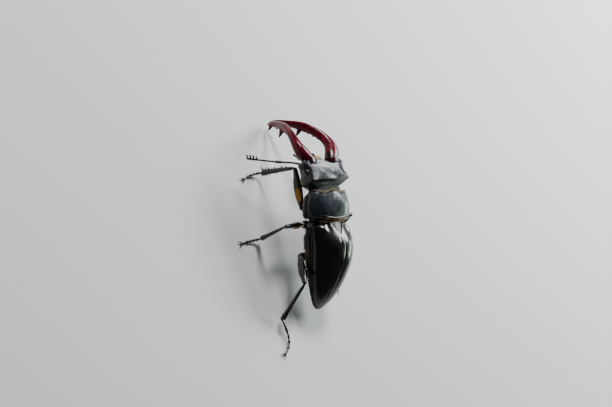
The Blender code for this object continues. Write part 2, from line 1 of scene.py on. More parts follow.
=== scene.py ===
"""Dresses a still, life-size model of a large male stag beetle.

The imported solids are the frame: they say where everything is, and each shown piece stands for one of them
or lies between them. Shapes are worked out in millimetres in the frame of the trunk, of the head or of the
ground, and become metres when a mesh is made. The head faces -Y and the beetle's own left side is +X.
"""

import logging
import math
from collections.abc import Callable, Sequence
from dataclasses import dataclass, field
from enum import Enum
from functools import cache

import bpy
import numpy as np
from bpy.types import Material, Node, NodeSocket, NodeTree, Object
from mathutils import Euler, Matrix, Vector, kdtree


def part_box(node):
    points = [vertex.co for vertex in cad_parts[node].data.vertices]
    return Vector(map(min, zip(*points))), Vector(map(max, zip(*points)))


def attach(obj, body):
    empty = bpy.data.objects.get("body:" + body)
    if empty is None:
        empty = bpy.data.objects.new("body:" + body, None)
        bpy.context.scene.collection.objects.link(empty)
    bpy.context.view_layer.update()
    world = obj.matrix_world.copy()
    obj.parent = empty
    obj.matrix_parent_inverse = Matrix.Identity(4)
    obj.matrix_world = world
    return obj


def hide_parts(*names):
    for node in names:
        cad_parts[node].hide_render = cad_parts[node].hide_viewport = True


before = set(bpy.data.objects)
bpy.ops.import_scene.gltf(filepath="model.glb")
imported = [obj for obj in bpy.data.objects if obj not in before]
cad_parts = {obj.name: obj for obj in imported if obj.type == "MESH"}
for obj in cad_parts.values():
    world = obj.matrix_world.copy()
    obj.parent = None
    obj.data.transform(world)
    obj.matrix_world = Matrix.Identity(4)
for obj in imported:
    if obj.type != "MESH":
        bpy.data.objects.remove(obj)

MM = 0.001
BODY = "root"
UNWRAP = "Unwrap"  # the map of a plate, from its own grid
COAT_MAP = "OFBake"  # the map of a coat: one small patch for each tuft
PATCH = 0.003  # about how wide a tuft's patch is on that map
NUMBER, VECTOR, COLOUR, GEOMETRY = (
    "NodeSocketFloat", "NodeSocketVector", "NodeSocketColor", "NodeSocketGeometry")
SHELL_IOR, JAW_IOR = 1.36, 1.30
PIT_DULLNESS = 0.10  # how much rougher the shell is in a pit
DUST_COLOUR = (0.33, 0.30, 0.26, 1.0)
ACROSS, ALONG, UP = Vector((1, 0, 0)), Vector((0, 1, 0)), Vector((0, 0, 1))

log = logging.getLogger("stag_beetle")

Ring = Sequence[Vector]
Colour = tuple[float, float, float]
Place = tuple[float, float, float]
Table = Sequence[Sequence[float]]
Cover = Callable[[Vector, Vector], float]


class Side(Enum):
    """The beetle's own left and right, with the sign of X there."""

    LEFT = 1
    RIGHT = -1

    @property
    def word(self) -> str:
        """The side's name in node names."""
        return self.name.lower()


# ---------------------------------------------------------------------------------------- numbers


def clamp(value: float, low: float = 0.0, high: float = 1.0) -> float:
    """Keeps value between low and high."""
    return max(low, min(high, value))


def mix(a: float, b: float, t: float) -> float:
    """Runs evenly from a at t = 0 to b at t = 1."""
    return a + (b - a) * t


def evenly(count: int) -> list[float]:
    """Numbers from 0 to 1 in equal steps."""
    return [i / (count - 1) for i in range(count)]


def ease(t: float) -> float:
    """Runs smoothly from 0 to 1, level at both ends."""
    t = clamp(t)
    return t * t * (3 - 2 * t)


def bump(value: float, centre: float, width: float) -> float:
    """Is 1 at centre and falls smoothly to nothing a few widths away."""
    return math.exp(-(((value - centre) / width) ** 2))


def crease(value: float, before: float, after: float) -> float:
    """Is 1 at zero and falls away with a sharp edge, at its own rate on each side."""
    return math.exp(-abs(value) / (before if value < 0 else after))


def arch(t: float, power: float) -> float:
    """A rounded fall from 1 at t = 0 to 0 at t = 1; a higher power keeps it full for longer."""
    return (1 - clamp(t) ** power) ** (1 / power)


def signed_power(value: float, power: float) -> float:
    """Raises the size of value to a power and keeps its sign."""
    return math.copysign(abs(value) ** power, value)


def read_off(table: Table, place: float, column: int = 1) -> float:
    """Reads a table at a place between its rows, whose first column is the place."""
    return float(np.interp(place, [row[0] for row in table], [row[column] for row in table]))


def bezier(points: Sequence[Vector], t: float) -> Vector:
    """A point on the curve that three or four control points give.

    Args:
        points: the control points, ends included.
        t: how far along, from 0 to 1; a little beyond runs on past the ends.

    Returns:
        The point.
    """
    degree = len(points) - 1
    total = Vector((0, 0, 0))
    for i, point in enumerate(points):
        total += Vector(point) * (math.comb(degree, i) * (1 - t) ** (degree - i) * t**i)
    return total


def heading(points: Sequence[Vector], t: float) -> Vector:
    """The direction of that curve at t."""
    return (bezier(points, t + 0.005) - bezier(points, t - 0.005)).normalized()


def oval(centre: Vector, along: Vector, side: Vector, half_side: float, half_up: float, count: int) -> Ring:
    """An ellipse across a direction.

    Args:
        centre: its middle.
        along: the direction it faces.
        side: where its width is measured towards.
        half_side: half its width.
        half_up: half its height.
        count: how many points.

    Returns:
        The points in order.
    """
    along = along.normalized()
    side = (side - along * side.dot(along)).normalized()
    up = along.cross(side)
    angles = (2 * math.pi * i / count for i in range(count))
    return [centre + side * (half_side * math.cos(a)) + up * (half_up * math.sin(a)) for a in angles]


# ----------------------------------------------------------------------------------------- meshes


class Shape:
    """Closed skins and spikes that grow into one mesh, in millimetres in one frame of the beetle."""

    def __init__(self, place: Matrix, rings: Sequence[Ring] = ()) -> None:
        """Starts with one skin or none; place turns the frame's millimetres into the world's."""
        self.place = place
        self.points: list[Vector] = []
        self.faces: list[tuple[int, ...]] = []
        self.corners: list[tuple[float, float]] = []
        if rings:
            self.loft(rings)

    def loft(self, rings: Sequence[Ring]) -> None:
        """Skins rings of equal length, closes both ends and turns the faces outwards."""
        start, count, rows = len(self.points), len(rings[0]), len(rings)
        points = [Vector(point) for ring in rings for point in ring]
        faces: list[tuple[int, ...]] = []
        corners: list[tuple[tuple[float, float], ...]] = []
        for row in range(rows - 1):
            low, high = row / (rows - 1), (row + 1) / (rows - 1)
            for i in range(count):
                j, here = (i + 1) % count, row * count
                faces.append((here + i, here + j, here + count + j, here + count + i))
                left, right = i / count, (i + 1) / count
                corners.append(((left, low), (right, low), (right, high), (left, high)))
        for row, centre_v in ((0, 0.0), (rows - 1, 1.0)):
            ring = points[row * count : (row + 1) * count]
            points.append(sum(ring, Vector()) / count)
            for i in range(count):
                face = (row * count + i, row * count + (i + 1) % count, len(points) - 1)
                spot = ((i / count, centre_v), ((i + 1) / count, centre_v), ((i + 0.5) / count, centre_v))
                faces.append(face if row else face[::-1])
                corners.append(spot if row else spot[::-1])
        if self._volume(points, faces) < 0:
            faces = [face[::-1] for face in faces]
            corners = [spot[::-1] for spot in corners]
        self.points += points
        self.faces += [tuple(start + i for i in face) for face in faces]
        self.corners += [spot for group in corners for spot in group]

    @staticmethod
    def _volume(points: Sequence[Vector], faces: Sequence[tuple[int, ...]]) -> float:
        """Six times the volume inside closed faces, below zero if they face inwards."""
        total = 0.0
        for face in faces:
            for i in range(1, len(face) - 1):
                total += points[face[0]].dot(points[face[i]].cross(points[face[i + 1]]))
        return total

    def tube(self, path: Sequence[Vector], sizes: Table, side: Vector,
             count: int = 20, span: tuple[float, float] = (0.0, 1.0), rows: int = 40) -> None:
        """Sweeps a round section along a curve.

        Args:
            path: the curve's control points.
            sizes: how far along and the radius there, row by row.
            side: any direction across the path.
            count: points round the section.
            span: where on the curve the tube starts and ends.
            rows: how many sections.
        """
        rings = []
        for share in evenly(rows):
            t = mix(*span, share)
            radius = read_off(sizes, t)
            rings.append(oval(bezier(path, t), heading(path, t), side, radius, radius, count))
        self.loft(rings)

    def spike(self, base: Vector, direction: Vector, length: float, radius: float,
              hook: Vector = Vector((0, 0, 0)), count: int = 12, rows: int = 12) -> None:
        """Grows a curved cone with a blunt tip, its root sunk a little behind base."""
        direction = direction.normalized()
        side = direction.orthogonal()
        rings = []
        for share in evenly(rows):
            t = mix(-0.25, 1.0, share)
            centre = base + direction * (length * t) + hook * (max(t, 0) ** 2)
            thickness = radius * (1 - 0.86 * clamp(t) ** 1.1) * arch((t - 0.9) / 0.105, 2.0)
            rings.append(oval(centre, direction + hook * (max(t, 0) / length), side,
                              max(thickness, 0.02), max(thickness, 0.02), count))
        self.loft(rings)

    def ball(self, centre: Vector, axis: Vector, radius: float, length: float, count: int = 24) -> None:
        """Adds a round knob, longer or shorter along its axis."""
        rows = count // 2
        side = axis.orthogonal()
        rings = []
        for k in range(rows):
            turn = math.pi * (k + 0.5) / rows
            middle = centre - axis.normalized() * (length * math.cos(turn))
            rings.append(oval(middle, axis, side, radius * math.sin(turn), radius * math.sin(turn), count))
        self.loft(rings)

    def piece(self, name: str, material: Material, sharp: float = 40.0) -> Object:
        """Makes the object.

        Args:
            name: the object's name.
            material: what it is made of.
            sharp: edges that turn by more degrees than this are creased.

        Returns:
            The object, at the origin, in metres.
        """
        mesh = bpy.data.meshes.new(name)
        mesh.from_pydata([self.place @ point * MM for point in self.points], [], self.faces)
        layer = mesh.uv_layers.new(name=UNWRAP)
        layer.uv.foreach_set("vector", np.array(self.corners, np.float32).ravel())
        mesh.materials.append(material)
        mesh.shade_smooth()
        mesh.set_sharp_from_angle(angle=math.radians(sharp))
        mesh.validate()
        obj = bpy.data.objects.new(name, mesh)
        bpy.context.scene.collection.objects.link(obj)
        return obj

    def shown(self, name: str, material: Material, slot: str, *nodes: str, sharp: float = 40.0) -> Object:
        """Makes the object and places it on the beetle."""
        obj = self.piece(name, material, sharp)
        place_on_beetle(obj, slot, *nodes)
        return obj


def settled(obj: Object) -> Object:
    """Replaces an object's mesh with what its modifiers make of it, and removes them."""
    graph = bpy.context.evaluated_depsgraph_get()
    made = bpy.data.meshes.new_from_object(obj.evaluated_get(graph), depsgraph=graph)
    obj.modifiers.clear()
    obj.data = made
    return obj


def fused(obj: Object, voxel: float, rounds: int) -> Object:
    """Melts crossing skins into one and softens where they meet.

    Args:
        obj: the piece, made of closed skins that cross.
        voxel: the new mesh's grid, in millimetres.
        rounds: how often it is smoothed.

    Returns:
        The same object.
    """
    remesh = obj.modifiers.new("melt", "REMESH")
    remesh.mode = "VOXEL"
    remesh.voxel_size = voxel * MM
    remesh.use_smooth_shade = True
    soften = obj.modifiers.new("soften", "SMOOTH")
    soften.factor = 0.5
    soften.iterations = rounds
    material = obj.data.materials[0]
    settled(obj)
    if not obj.data.materials:
        obj.data.materials.append(material)
    obj.data.shade_smooth()
    return obj


def place_on_beetle(obj: Object, slot: str, *nodes: str) -> None:
    """Lets a piece ride on the beetle and stand for the solids it replaces."""
    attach(obj, BODY)
    if nodes:
        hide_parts(*nodes)
    log.info("%s: %d faces, for %s", obj.name, len(obj.data.polygons), ", ".join(nodes) or "no solid")


# ------------------------------------------------------------------------------------- node trees


class Tree:
    """Builds a node tree, one node a call."""

    def __init__(self, tree: NodeTree) -> None:
        """Works on the given tree."""
        self.tree = tree

    def socket(self, name: str, kind: str, value: object = None, output: bool = False) -> None:
        """Adds an input or output of the tree, with its usual value."""
        made = self.tree.interface.new_socket(name, in_out="OUTPUT" if output else "INPUT", socket_type=kind)
        if value is not None:
            made.default_value = value

    def feed(self, node: Node, inputs: dict[str | int, object]) -> None:
        """Gives each named input of a node its value or another node's output."""
        for key, value in inputs.items():
            if isinstance(value, NodeSocket):
                self.tree.links.new(value, node.inputs[key])
            else:
                node.inputs[key].default_value = value

    def add(self, kind: str, inputs: dict[str | int, object] | None = None, **settings: object) -> Node:
        """Adds a node.

        Args:
            kind: the node's type.
            inputs: what goes into each input, a value or another node's output.
            settings: the node's own settings.

        Returns:
            The node.
        """
        node = self.tree.nodes.new(kind)
        for key, value in settings.items():
            setattr(node, key, value)
        self.feed(node, inputs or {})
        return node

    def math(self, operation: str, a: object, b: object) -> NodeSocket:
        """Adds a Math node and gives its result."""
        return self.add("ShaderNodeMath", {0: a, 1: b}, operation=operation).outputs[0]

    def plus(self, a: object, b: object) -> NodeSocket:
        """Adds two numbers."""
        return self.math("ADD", a, b)

    def times(self, a: object, b: object) -> NodeSocket:
        """Multiplies two numbers."""
        return self.math("MULTIPLY", a, b)

    def vector(self, operation: str, inputs: dict[str | int, object]) -> NodeSocket:
        """Adds a Vector Math node and gives its result."""
        return self.add("ShaderNodeVectorMath", inputs, operation=operation).outputs[0]

    def ramp(self, value: object, low: object, high: object, to_low: float = 0.0,
             to_high: float = 1.0) -> NodeSocket:
        """Maps a range onto another, smoothly, and gives the result."""
        inputs = {"Value": value, "From Min": low, "From Max": high, "To Min": to_low, "To Max": to_high}
        return self.add("ShaderNodeMapRange", inputs, interpolation_type="SMOOTHSTEP").outputs[0]

    def blend(self, share: object, a: object, b: object) -> NodeSocket:
        """Mixes two colours and gives the result."""
        return self.add("ShaderNodeMix", {0: share, 6: a, 7: b}, data_type="RGBA").outputs[2]

    def noise(self, where: NodeSocket, scale: object, detail: float, **more: float) -> NodeSocket:
        """Adds fractal noise and gives its height; more holds its other inputs by name."""
        inputs = {"Vector": where, "Scale": scale, "Detail": detail} | more
        return self.add("ShaderNodeTexNoise", inputs).outputs["Fac"]

    def random(self, low: float, high: float, seed: object) -> NodeSocket:
        """A number between low and high for each point."""
        inputs = {2: low, 3: high, "Seed": seed}
        return self.add("FunctionNodeRandomValue", inputs, data_type="FLOAT").outputs[1]

    def attribute(self, name: str, kind: str = "FLOAT_VECTOR") -> NodeSocket:
        """Reads what the geometry holds under a name."""
        return self.add("GeometryNodeInputNamedAttribute", {"Name": name}, data_type=kind).outputs[0]

    def store(self, geometry: NodeSocket, name: str, value: NodeSocket, kind: str = "FLOAT_VECTOR",
              domain: str = "POINT") -> NodeSocket:
        """Stores a value on the geometry under a name and gives the geometry."""
        inputs = {"Geometry": geometry, "Name": name, "Value": value}
        return self.add("GeometryNodeStoreNamedAttribute", inputs, data_type=kind, domain=domain).outputs[0]


class Surface(Tree):
    """A material's tree, with the shader that it feeds and the coordinates that its patterns read."""

    def __init__(self, name: str) -> None:
        """Starts the material."""
        self.material = bpy.data.materials.new(name)
        self.material.use_nodes = True
        super().__init__(self.material.node_tree)
        self.coords = self.add("ShaderNodeTexCoord").outputs["Object"]

    def pattern(self, group: NodeTree, **inputs: object) -> Node:
        """Adds a shared pattern that reads the coordinates."""
        return self.add("ShaderNodeGroup", {"Vector": self.coords} | inputs, node_tree=group)

    def wear(self, inputs: dict[str, object], height: NodeSocket | None = None) -> Material:
        """Feeds the shader, with a relief in millimetres if there is one, and gives the material."""
        if height is not None:
            relief = self.add("ShaderNodeBump", {"Height": height, "Strength": 1.0, "Distance": MM})
            inputs = inputs | {"Normal": relief.outputs[0]}
        self.feed(self.tree.nodes["Principled BSDF"], inputs)
        return self.material


def new_tree(name: str, kind: str, inputs: dict[str, tuple[str, object]],
             outputs: dict[str, str]) -> tuple[Tree, Node]:
    """Starts a shared tree.

    Args:
        name: its name.
        kind: its type.
        inputs: the type and usual value of each input.
        outputs: the type of each output.

    Returns:
        The tree and its input node.
    """
    tree = Tree(bpy.data.node_groups.new(name, kind))
    for key, (socket, value) in inputs.items():
        tree.socket(key, socket, value)
    for key, socket in outputs.items():
        tree.socket(key, socket, output=True)
    return tree, tree.add("NodeGroupInput")


@cache
def pits_group() -> NodeTree:
    """Fine round pits, or granules where the depth is turned round.

    Returns:
        A group that gives a height of 1 between the pits and 0 in them, and a mask of the pits.
    """
    tree, given = new_tree("Pits", "ShaderNodeTree",
                           {"Vector": (VECTOR, None), "Spacing": (NUMBER, 0.3), "Size": (NUMBER, 0.35)},
                           {"Height": NUMBER, "Mask": NUMBER})
    where = given.outputs["Vector"]
    scale = tree.math("DIVIDE", 1 / MM, given.outputs["Spacing"])
    wobble = tree.noise(where, 900.0, 2.0)
    cells = tree.add("ShaderNodeTexVoronoi", {"Vector": where, "Scale": scale})
    reach = tree.times(given.outputs["Size"], tree.ramp(wobble, 0.35, 0.65, 0.6, 1.3))
    height = tree.ramp(cells.outputs["Distance"], 0.0, reach)
    tree.add("NodeGroupOutput", {"Height": height, "Mask": tree.math("SUBTRACT", 1.0, height)})
    return tree.tree


@cache
def tone_group() -> NodeTree:
    """Clouds of two colours over the shell, and a fine film of dust in the hollows of the noise."""
    tree, given = new_tree("Shell tone", "ShaderNodeTree",
                           {"Vector": (VECTOR, None), "Deep": (COLOUR, (0, 0, 0, 1)),
                            "Light": (COLOUR, (0.1, 0.1, 0.1, 1)), "Cloud": (NUMBER, 3.0),
                            "Dust": (NUMBER, 0.1)},
                           {"Color": COLOUR, "Roughness": NUMBER})
    where = given.outputs["Vector"]
    clouds = tree.noise(where, tree.math("DIVIDE", 1 / MM, given.outputs["Cloud"]), 3.0)
    specks = tree.noise(where, 5200.0, 4.0, Roughness=0.7)
    shade = tree.ramp(clouds, 0.34, 0.68)
    dust = tree.times(tree.ramp(specks, 0.56, 0.74), given.outputs["Dust"])
    shell = tree.blend(shade, given.outputs["Deep"], given.outputs["Light"])
    dusted = tree.blend(dust, shell, DUST_COLOUR)
    rough = tree.plus(tree.times(shade, 0.12), tree.times(dust, 0.5))
    tree.add("NodeGroupOutput", {"Color": dusted, "Roughness": rough})
    return tree.tree


@cache
def wrinkle_group() -> NodeTree:
    """Shallow lines that run one way over a surface, from noise drawn out along them."""
    stretch = (VECTOR, (0.2, 1.0, 1.0))
    tree, given = new_tree("Wrinkles", "ShaderNodeTree",
                           {"Vector": (VECTOR, None), "Spacing": (NUMBER, 0.5), "Stretch": stretch},
                           {"Height": NUMBER})
    drawn = tree.vector("MULTIPLY", {0: given.outputs["Vector"], 1: given.outputs["Stretch"]})
    scale = tree.math("DIVIDE", 1 / MM, given.outputs["Spacing"])
    tree.add("NodeGroupOutput", {"Height": tree.noise(drawn, scale, 3.0, Roughness=0.55, Distortion=0.3)})
    return tree.tree


# --------------------------------------------------------------------------------------- finishes


@dataclass(frozen=True)
class ShellFinish:
    """Horny shell: two close tones, a film of dust, pits, wrinkles and a gloss."""

    name: str
    deep: Colour
    light: Colour
    roughness: float
    gloss: float = 0.0  # weight of a clear top layer
    cloud: float = 4.0  # mm across a patch of one tone
    dust: float = 0.06
    pit_spacing: float = 0.30
    pit_size: float = 0.35
    pit_depth: float = 0.012  # mm; below zero makes granules
    wrinkle_spacing: float = 0.9
    wrinkle_stretch: tuple[float, float, float] = (0.25, 1.0, 1.0)
    wrinkle_depth: float = 0.03

    def material(self) -> Material:
        """Builds the material."""
        tree = Surface(self.name)
        tone = tree.pattern(tone_group(), Deep=(*self.deep, 1.0), Light=(*self.light, 1.0), Cloud=self.cloud,
                            Dust=self.dust)
        pits = tree.pattern(pits_group(), Spacing=self.pit_spacing, Size=self.pit_size)
        lines = tree.pattern(wrinkle_group(), Spacing=self.wrinkle_spacing, Stretch=self.wrinkle_stretch)
        rough = tree.plus(tone.outputs["Roughness"], self.roughness)
        rough = tree.plus(rough, tree.times(pits.outputs["Mask"], PIT_DULLNESS))
        height = tree.plus(tree.times(pits.outputs["Height"], self.pit_depth),
                           tree.times(lines.outputs["Height"], self.wrinkle_depth))
        return tree.wear({"Base Color": tone.outputs["Color"], "Roughness": rough, "Coat Weight": self.gloss,
                          "Coat Roughness": 0.08, "IOR": SHELL_IOR}, height)


@dataclass(frozen=True)
class JawFinish:
    """Polished jaw: clear red in the middle, near black at the base, the teeth and the tips."""

    name: str
    red: Colour
    rust: Colour
    dark: Colour
    roughness: float

    def material(self) -> Material:
        """Builds the material, which reads how dark each point is from the attribute named tone."""
        tree = Surface(self.name)
        tone = tree.pattern(tone_group(), Deep=(*self.red, 1.0), Light=(*self.rust, 1.0), Cloud=2.2,
                            Dust=0.015)
        dark = tree.add("ShaderNodeAttribute", attribute_name="tone").outputs["Fac"]
        veins = tree.pattern(wrinkle_group(), Spacing=0.8, Stretch=(1.0, 0.3, 0.6)).outputs["Height"]
        share = tree.plus(dark, tree.ramp(veins, 0.3, 0.7, -0.10, 0.10))
        colour = tree.blend(tree.ramp(share, 0.0, 1.0), tone.outputs["Color"], (*self.dark, 1.0))
        pits = tree.pattern(pits_group(), Spacing=0.24, Size=0.22).outputs["Height"]
        height = tree.plus(tree.times(pits, 0.006), tree.times(veins, 0.035))
        rough = tree.plus(tone.outputs["Roughness"], self.roughness)
        return tree.wear({"Base Color": colour, "Roughness": rough, "IOR": JAW_IOR}, height)


@dataclass(frozen=True)
class EyeFinish:
    """A glossy eye of very small facets."""

    name: str
    colour: Colour

    def material(self) -> Material:
        """Builds the material."""
        tree = Surface(self.name)
        cells = tree.pattern(pits_group(), Spacing=0.09, Size=0.75)
        between = tuple(part * 0.4 for part in self.colour)
        colour = tree.blend(cells.outputs["Mask"], (*between, 1.0), (*self.colour, 1.0))
        return tree.wear({"Base Color": colour, "Roughness": 0.16, "Coat Weight": 0.5},
                         tree.times(cells.outputs["Height"], -0.02))


@dataclass(frozen=True)
class HairFinish:
    """Silky short hair whose colour varies from tuft to tuft."""

    name: str
    dark: Colour
    pale: Colour

    def material(self) -> Material:
        """Builds the material."""
        tree = Surface(self.name)
        share = tree.ramp(tree.noise(tree.coords, 1600.0, 3.0), 0.35, 0.65)
        colour = tree.blend(share, (*self.dark, 1.0), (*self.pale, 1.0))
        return tree.wear({"Base Color": colour, "Roughness": 0.45, "Sheen Weight": 0.3})


class Finishes:
    """Every finish on the beetle, built once."""

    def __init__(self) -> None:
        """Builds the materials."""
        self.elytra = ShellFinish(
            "wing_case_shell", deep=(0.0018, 0.0013, 0.0018), light=(0.0055, 0.0018, 0.002), roughness=0.13,
            gloss=0.10, cloud=6.0, dust=0.006, pit_spacing=0.26, pit_size=0.24, pit_depth=0.007,
            wrinkle_spacing=2.2, wrinkle_stretch=(1.0, 0.18, 0.5), wrinkle_depth=0.03,
        ).material()
        self.pronotum = ShellFinish(
            "neck_shield_shell", deep=(0.005, 0.009, 0.013), light=(0.009, 0.015, 0.020), roughness=0.22,
            gloss=0.08, dust=0.03, pit_spacing=0.20, pit_size=0.34, pit_depth=0.016, wrinkle_spacing=0.55,
            wrinkle_stretch=(0.16, 1.0, 1.0), wrinkle_depth=0.06,
        ).material()
        self.head = ShellFinish(
            "head_plate_shell", deep=(0.007, 0.010, 0.015), light=(0.014, 0.018, 0.025), roughness=0.26,
            gloss=0.08, dust=0.04, pit_spacing=0.22, pit_size=0.55, pit_depth=-0.020, wrinkle_spacing=0.8,
            wrinkle_stretch=(0.6, 1.0, 1.0), wrinkle_depth=0.04,
        ).material()
        self.scutellum = ShellFinish(
            "scutellum_shell", deep=(0.010, 0.008, 0.007), light=(0.030, 0.023, 0.016), roughness=0.36,
            dust=0.10, pit_spacing=0.22, pit_size=0.4, pit_depth=0.02,
        ).material()
        self.underside = ShellFinish(
            "belly_shell", deep=(0.006, 0.004, 0.003), light=(0.016, 0.009, 0.006), roughness=0.30,
            gloss=0.08, dust=0.04, pit_spacing=0.25, pit_size=0.4, pit_depth=0.016, wrinkle_depth=0.03,
        ).material()
        self.skin = ShellFinish(
            "soft_skin", deep=(0.003, 0.0025, 0.002), light=(0.009, 0.007, 0.006), roughness=0.62,
            dust=0.02, pit_spacing=0.20, pit_size=0.4, pit_depth=0.02,
        ).material()
        self.leg = ShellFinish(
            "leg_shell", deep=(0.003, 0.003, 0.0035), light=(0.010, 0.006, 0.006), roughness=0.15,
            gloss=0.45, cloud=2.5, dust=0.012, pit_spacing=0.28, pit_size=0.32, pit_depth=0.012,
            wrinkle_spacing=0.7, wrinkle_stretch=(1.0, 1.0, 0.4), wrinkle_depth=0.03,
        ).material()
        self.feeler = ShellFinish(
            "feeler_shell", deep=(0.005, 0.0045, 0.005), light=(0.015, 0.012, 0.012), roughness=0.28,
            cloud=1.2, dust=0.06, pit_spacing=0.14, pit_size=0.4, pit_depth=0.010, wrinkle_depth=0.015,
        ).material()
        self.jaw = JawFinish("jaw_shell", red=(0.058, 0.0012, 0.006), rust=(0.125, 0.0025, 0.011),
                             dark=(0.005, 0.002, 0.003), roughness=0.15).material()
        self.eye = EyeFinish("eye_lens", (0.022, 0.015, 0.012)).material()
        self.gold = HairFinish("golden_hair", (0.42, 0.20, 0.04), (0.86, 0.58, 0.24)).material()
        self.amber = HairFinish("amber_hair", (0.72, 0.26, 0.02), (1.0, 0.54, 0.08)).material()
        self.dusky = HairFinish("dusky_hair", (0.05, 0.035, 0.022), (0.24, 0.18, 0.10)).material()
        self.tawny = HairFinish("tawny_hair", (0.16, 0.08, 0.025), (0.45, 0.26, 0.10)).material()


# ------------------------------------------------------------------------------------------ coats


def scatter_tree(name: str, sizes: dict[str, tuple[str, object]]) -> tuple[Tree, Node, Node]:
    """Starts a tree that strews small shapes over a piece where its attribute named cover says so.

    Args:
        name: the tree's name.
        sizes: its own inputs, each with a kind and a usual value.

    Returns:
        The tree, its input node and the node that strews the points.
    """
    common = {"Geometry": (GEOMETRY, None), "Density": (NUMBER, 1e6), "Seed": ("NodeSocketInt", 1),
              "Material": ("NodeSocketMaterial", None)}
    tree, given = new_tree(name, "GeometryNodeTree", common | sizes, {"Geometry": GEOMETRY})
    density = tree.times(tree.attribute("cover", "FLOAT"), given.outputs["Density"])
    strewn = tree.add("GeometryNodeDistributePointsOnFaces",
                      {"Mesh": given.outputs["Geometry"], "Density": density, "Seed": given.outputs["Seed"]})
    return tree, given, strewn


def end_tree(tree: Tree, given: Node, geometry: NodeSocket) -> NodeTree:
    """Gives the geometry the material that goes in, lets it out, and gives the finished tree."""
    dressed = tree.add("GeometryNodeSetMaterial",
                       {"Geometry": geometry, "Material": given.outputs["Material"]})
    tree.add("NodeGroupOutput", {0: dressed.outputs[0]})
    return tree.tree


@cache
def coat_tree() -> NodeTree:
    """Tufts of three bent hairs, which lie over towards the attribute named lie.

    Returns:
        A tree with inputs for the hairs' length, thickness and lay, which ends in one plain mesh with a map
        that has a small patch for each tuft at its root's place on the piece's own map.
    """
    tree, given, strewn = scatter_tree("Coat", {"Length": (NUMBER, 0.0005), "Thickness": (NUMBER, 0.06),
                                                "Lay": (NUMBER, 0.5)})
    seed = given.outputs["Seed"]
    tuft = tree.add("GeometryNodeJoinGeometry")
    for turn, lean, height in ((0.0, 0.30, 1.0), (2.2, 0.42, 0.85), (4.1, 0.22, 0.75)):
        away = Vector((math.cos(turn), math.sin(turn), 0))
        curve = tree.add("GeometryNodeCurveQuadraticBezier", {
            "Resolution": 3, "Start": away * 0.05, "Middle": away * 0.05 + Vector((0, 0, height * 0.6)),
            "End": away * lean + Vector((0, 0, height))})
        along = tree.add("GeometryNodeSplineParameter").outputs["Factor"]
        width = tree.times(given.outputs["Thickness"], tree.ramp(along, 0.2, 1.0, 1.0, 0.18))
        ring = tree.add("GeometryNodeCurvePrimitiveCircle", {"Resolution": 3, "Radius": 1.0})
        hair = tree.add("GeometryNodeCurveToMesh", {
            "Curve": curve.outputs[0], "Profile Curve": ring.outputs[0], "Scale": width, "Fill Caps": True})
        tree.tree.links.new(hair.outputs[0], tuft.inputs[0])
    parts = tree.add("ShaderNodeSeparateXYZ", {0: tree.add("GeometryNodeInputPosition").outputs[0]})
    leaning = tree.plus(parts.outputs["X"], tree.times(parts.outputs["Y"], 0.5))
    spot = tree.add("ShaderNodeCombineXYZ", {0: leaning, 1: parts.outputs["Z"]}).outputs[0]
    marked = tree.store(tuft.outputs[0], "spot", spot)

    roots = tree.store(strewn.outputs["Points"], "root", tree.attribute(UNWRAP))
    leant = tree.add("ShaderNodeMix",
                     {0: given.outputs["Lay"], 4: strewn.outputs["Normal"], 5: tree.attribute("lie")},
                     data_type="VECTOR").outputs[1]
    stray = tree.add("FunctionNodeRandomValue", {0: (-0.25,) * 3, 1: (0.25,) * 3, "Seed": seed},
                     data_type="FLOAT_VECTOR").outputs[0]
    aim = tree.vector("ADD", {0: leant, 1: stray})
    turned = tree.add("FunctionNodeAlignRotationToVector", {"Vector": aim}, axis="Z").outputs[0]
    spin = tree.add("FunctionNodeAxisAngleToRotation", {"Angle": tree.random(0.0, 2 * math.pi, seed)})
    turned = tree.add("FunctionNodeRotateRotation", {0: turned, 1: spin.outputs[0]}, rotation_space="LOCAL")
    size = tree.times(given.outputs["Length"], tree.random(0.65, 1.15, seed))
    placed = tree.add("GeometryNodeInstanceOnPoints", {"Points": roots, "Instance": marked,
                                                       "Rotation": turned.outputs[0], "Scale": size})
    real = tree.add("GeometryNodeRealizeInstances", {0: placed.outputs[0]})
    patch = tree.vector("SCALE", {0: tree.attribute("spot"), "Scale": PATCH})
    both = tree.vector("ADD", {0: tree.attribute("root"), 1: patch})
    return end_tree(tree, given, tree.store(real.outputs[0], COAT_MAP, both, "FLOAT2", "CORNER"))


@cache
def granule_tree() -> NodeTree:
    """Small flattened domes strewn over a plate.

    Returns:
        A tree with an input for the domes' radius, which ends in one plain mesh.
    """
    tree, given, strewn = scatter_tree("Granules", {"Radius": (NUMBER, 0.00008)})
    dome = tree.add("GeometryNodeMeshIcoSphere", {"Radius": 1.0, "Subdivisions": 1})
    wide = tree.times(given.outputs["Radius"], tree.random(0.6, 1.25, given.outputs["Seed"]))
    size = tree.add("ShaderNodeCombineXYZ", {0: wide, 1: wide, 2: tree.times(wide, 0.6)}).outputs[0]
    placed = tree.add("GeometryNodeInstanceOnPoints",
                      {"Points": strewn.outputs["Points"], "Instance": dome.outputs[0],
                       "Rotation": strewn.outputs["Rotation"], "Scale": size})
    real = tree.add("GeometryNodeRealizeInstances", {0: placed.outputs[0]})
    return end_tree(tree, given, real.outputs[0])


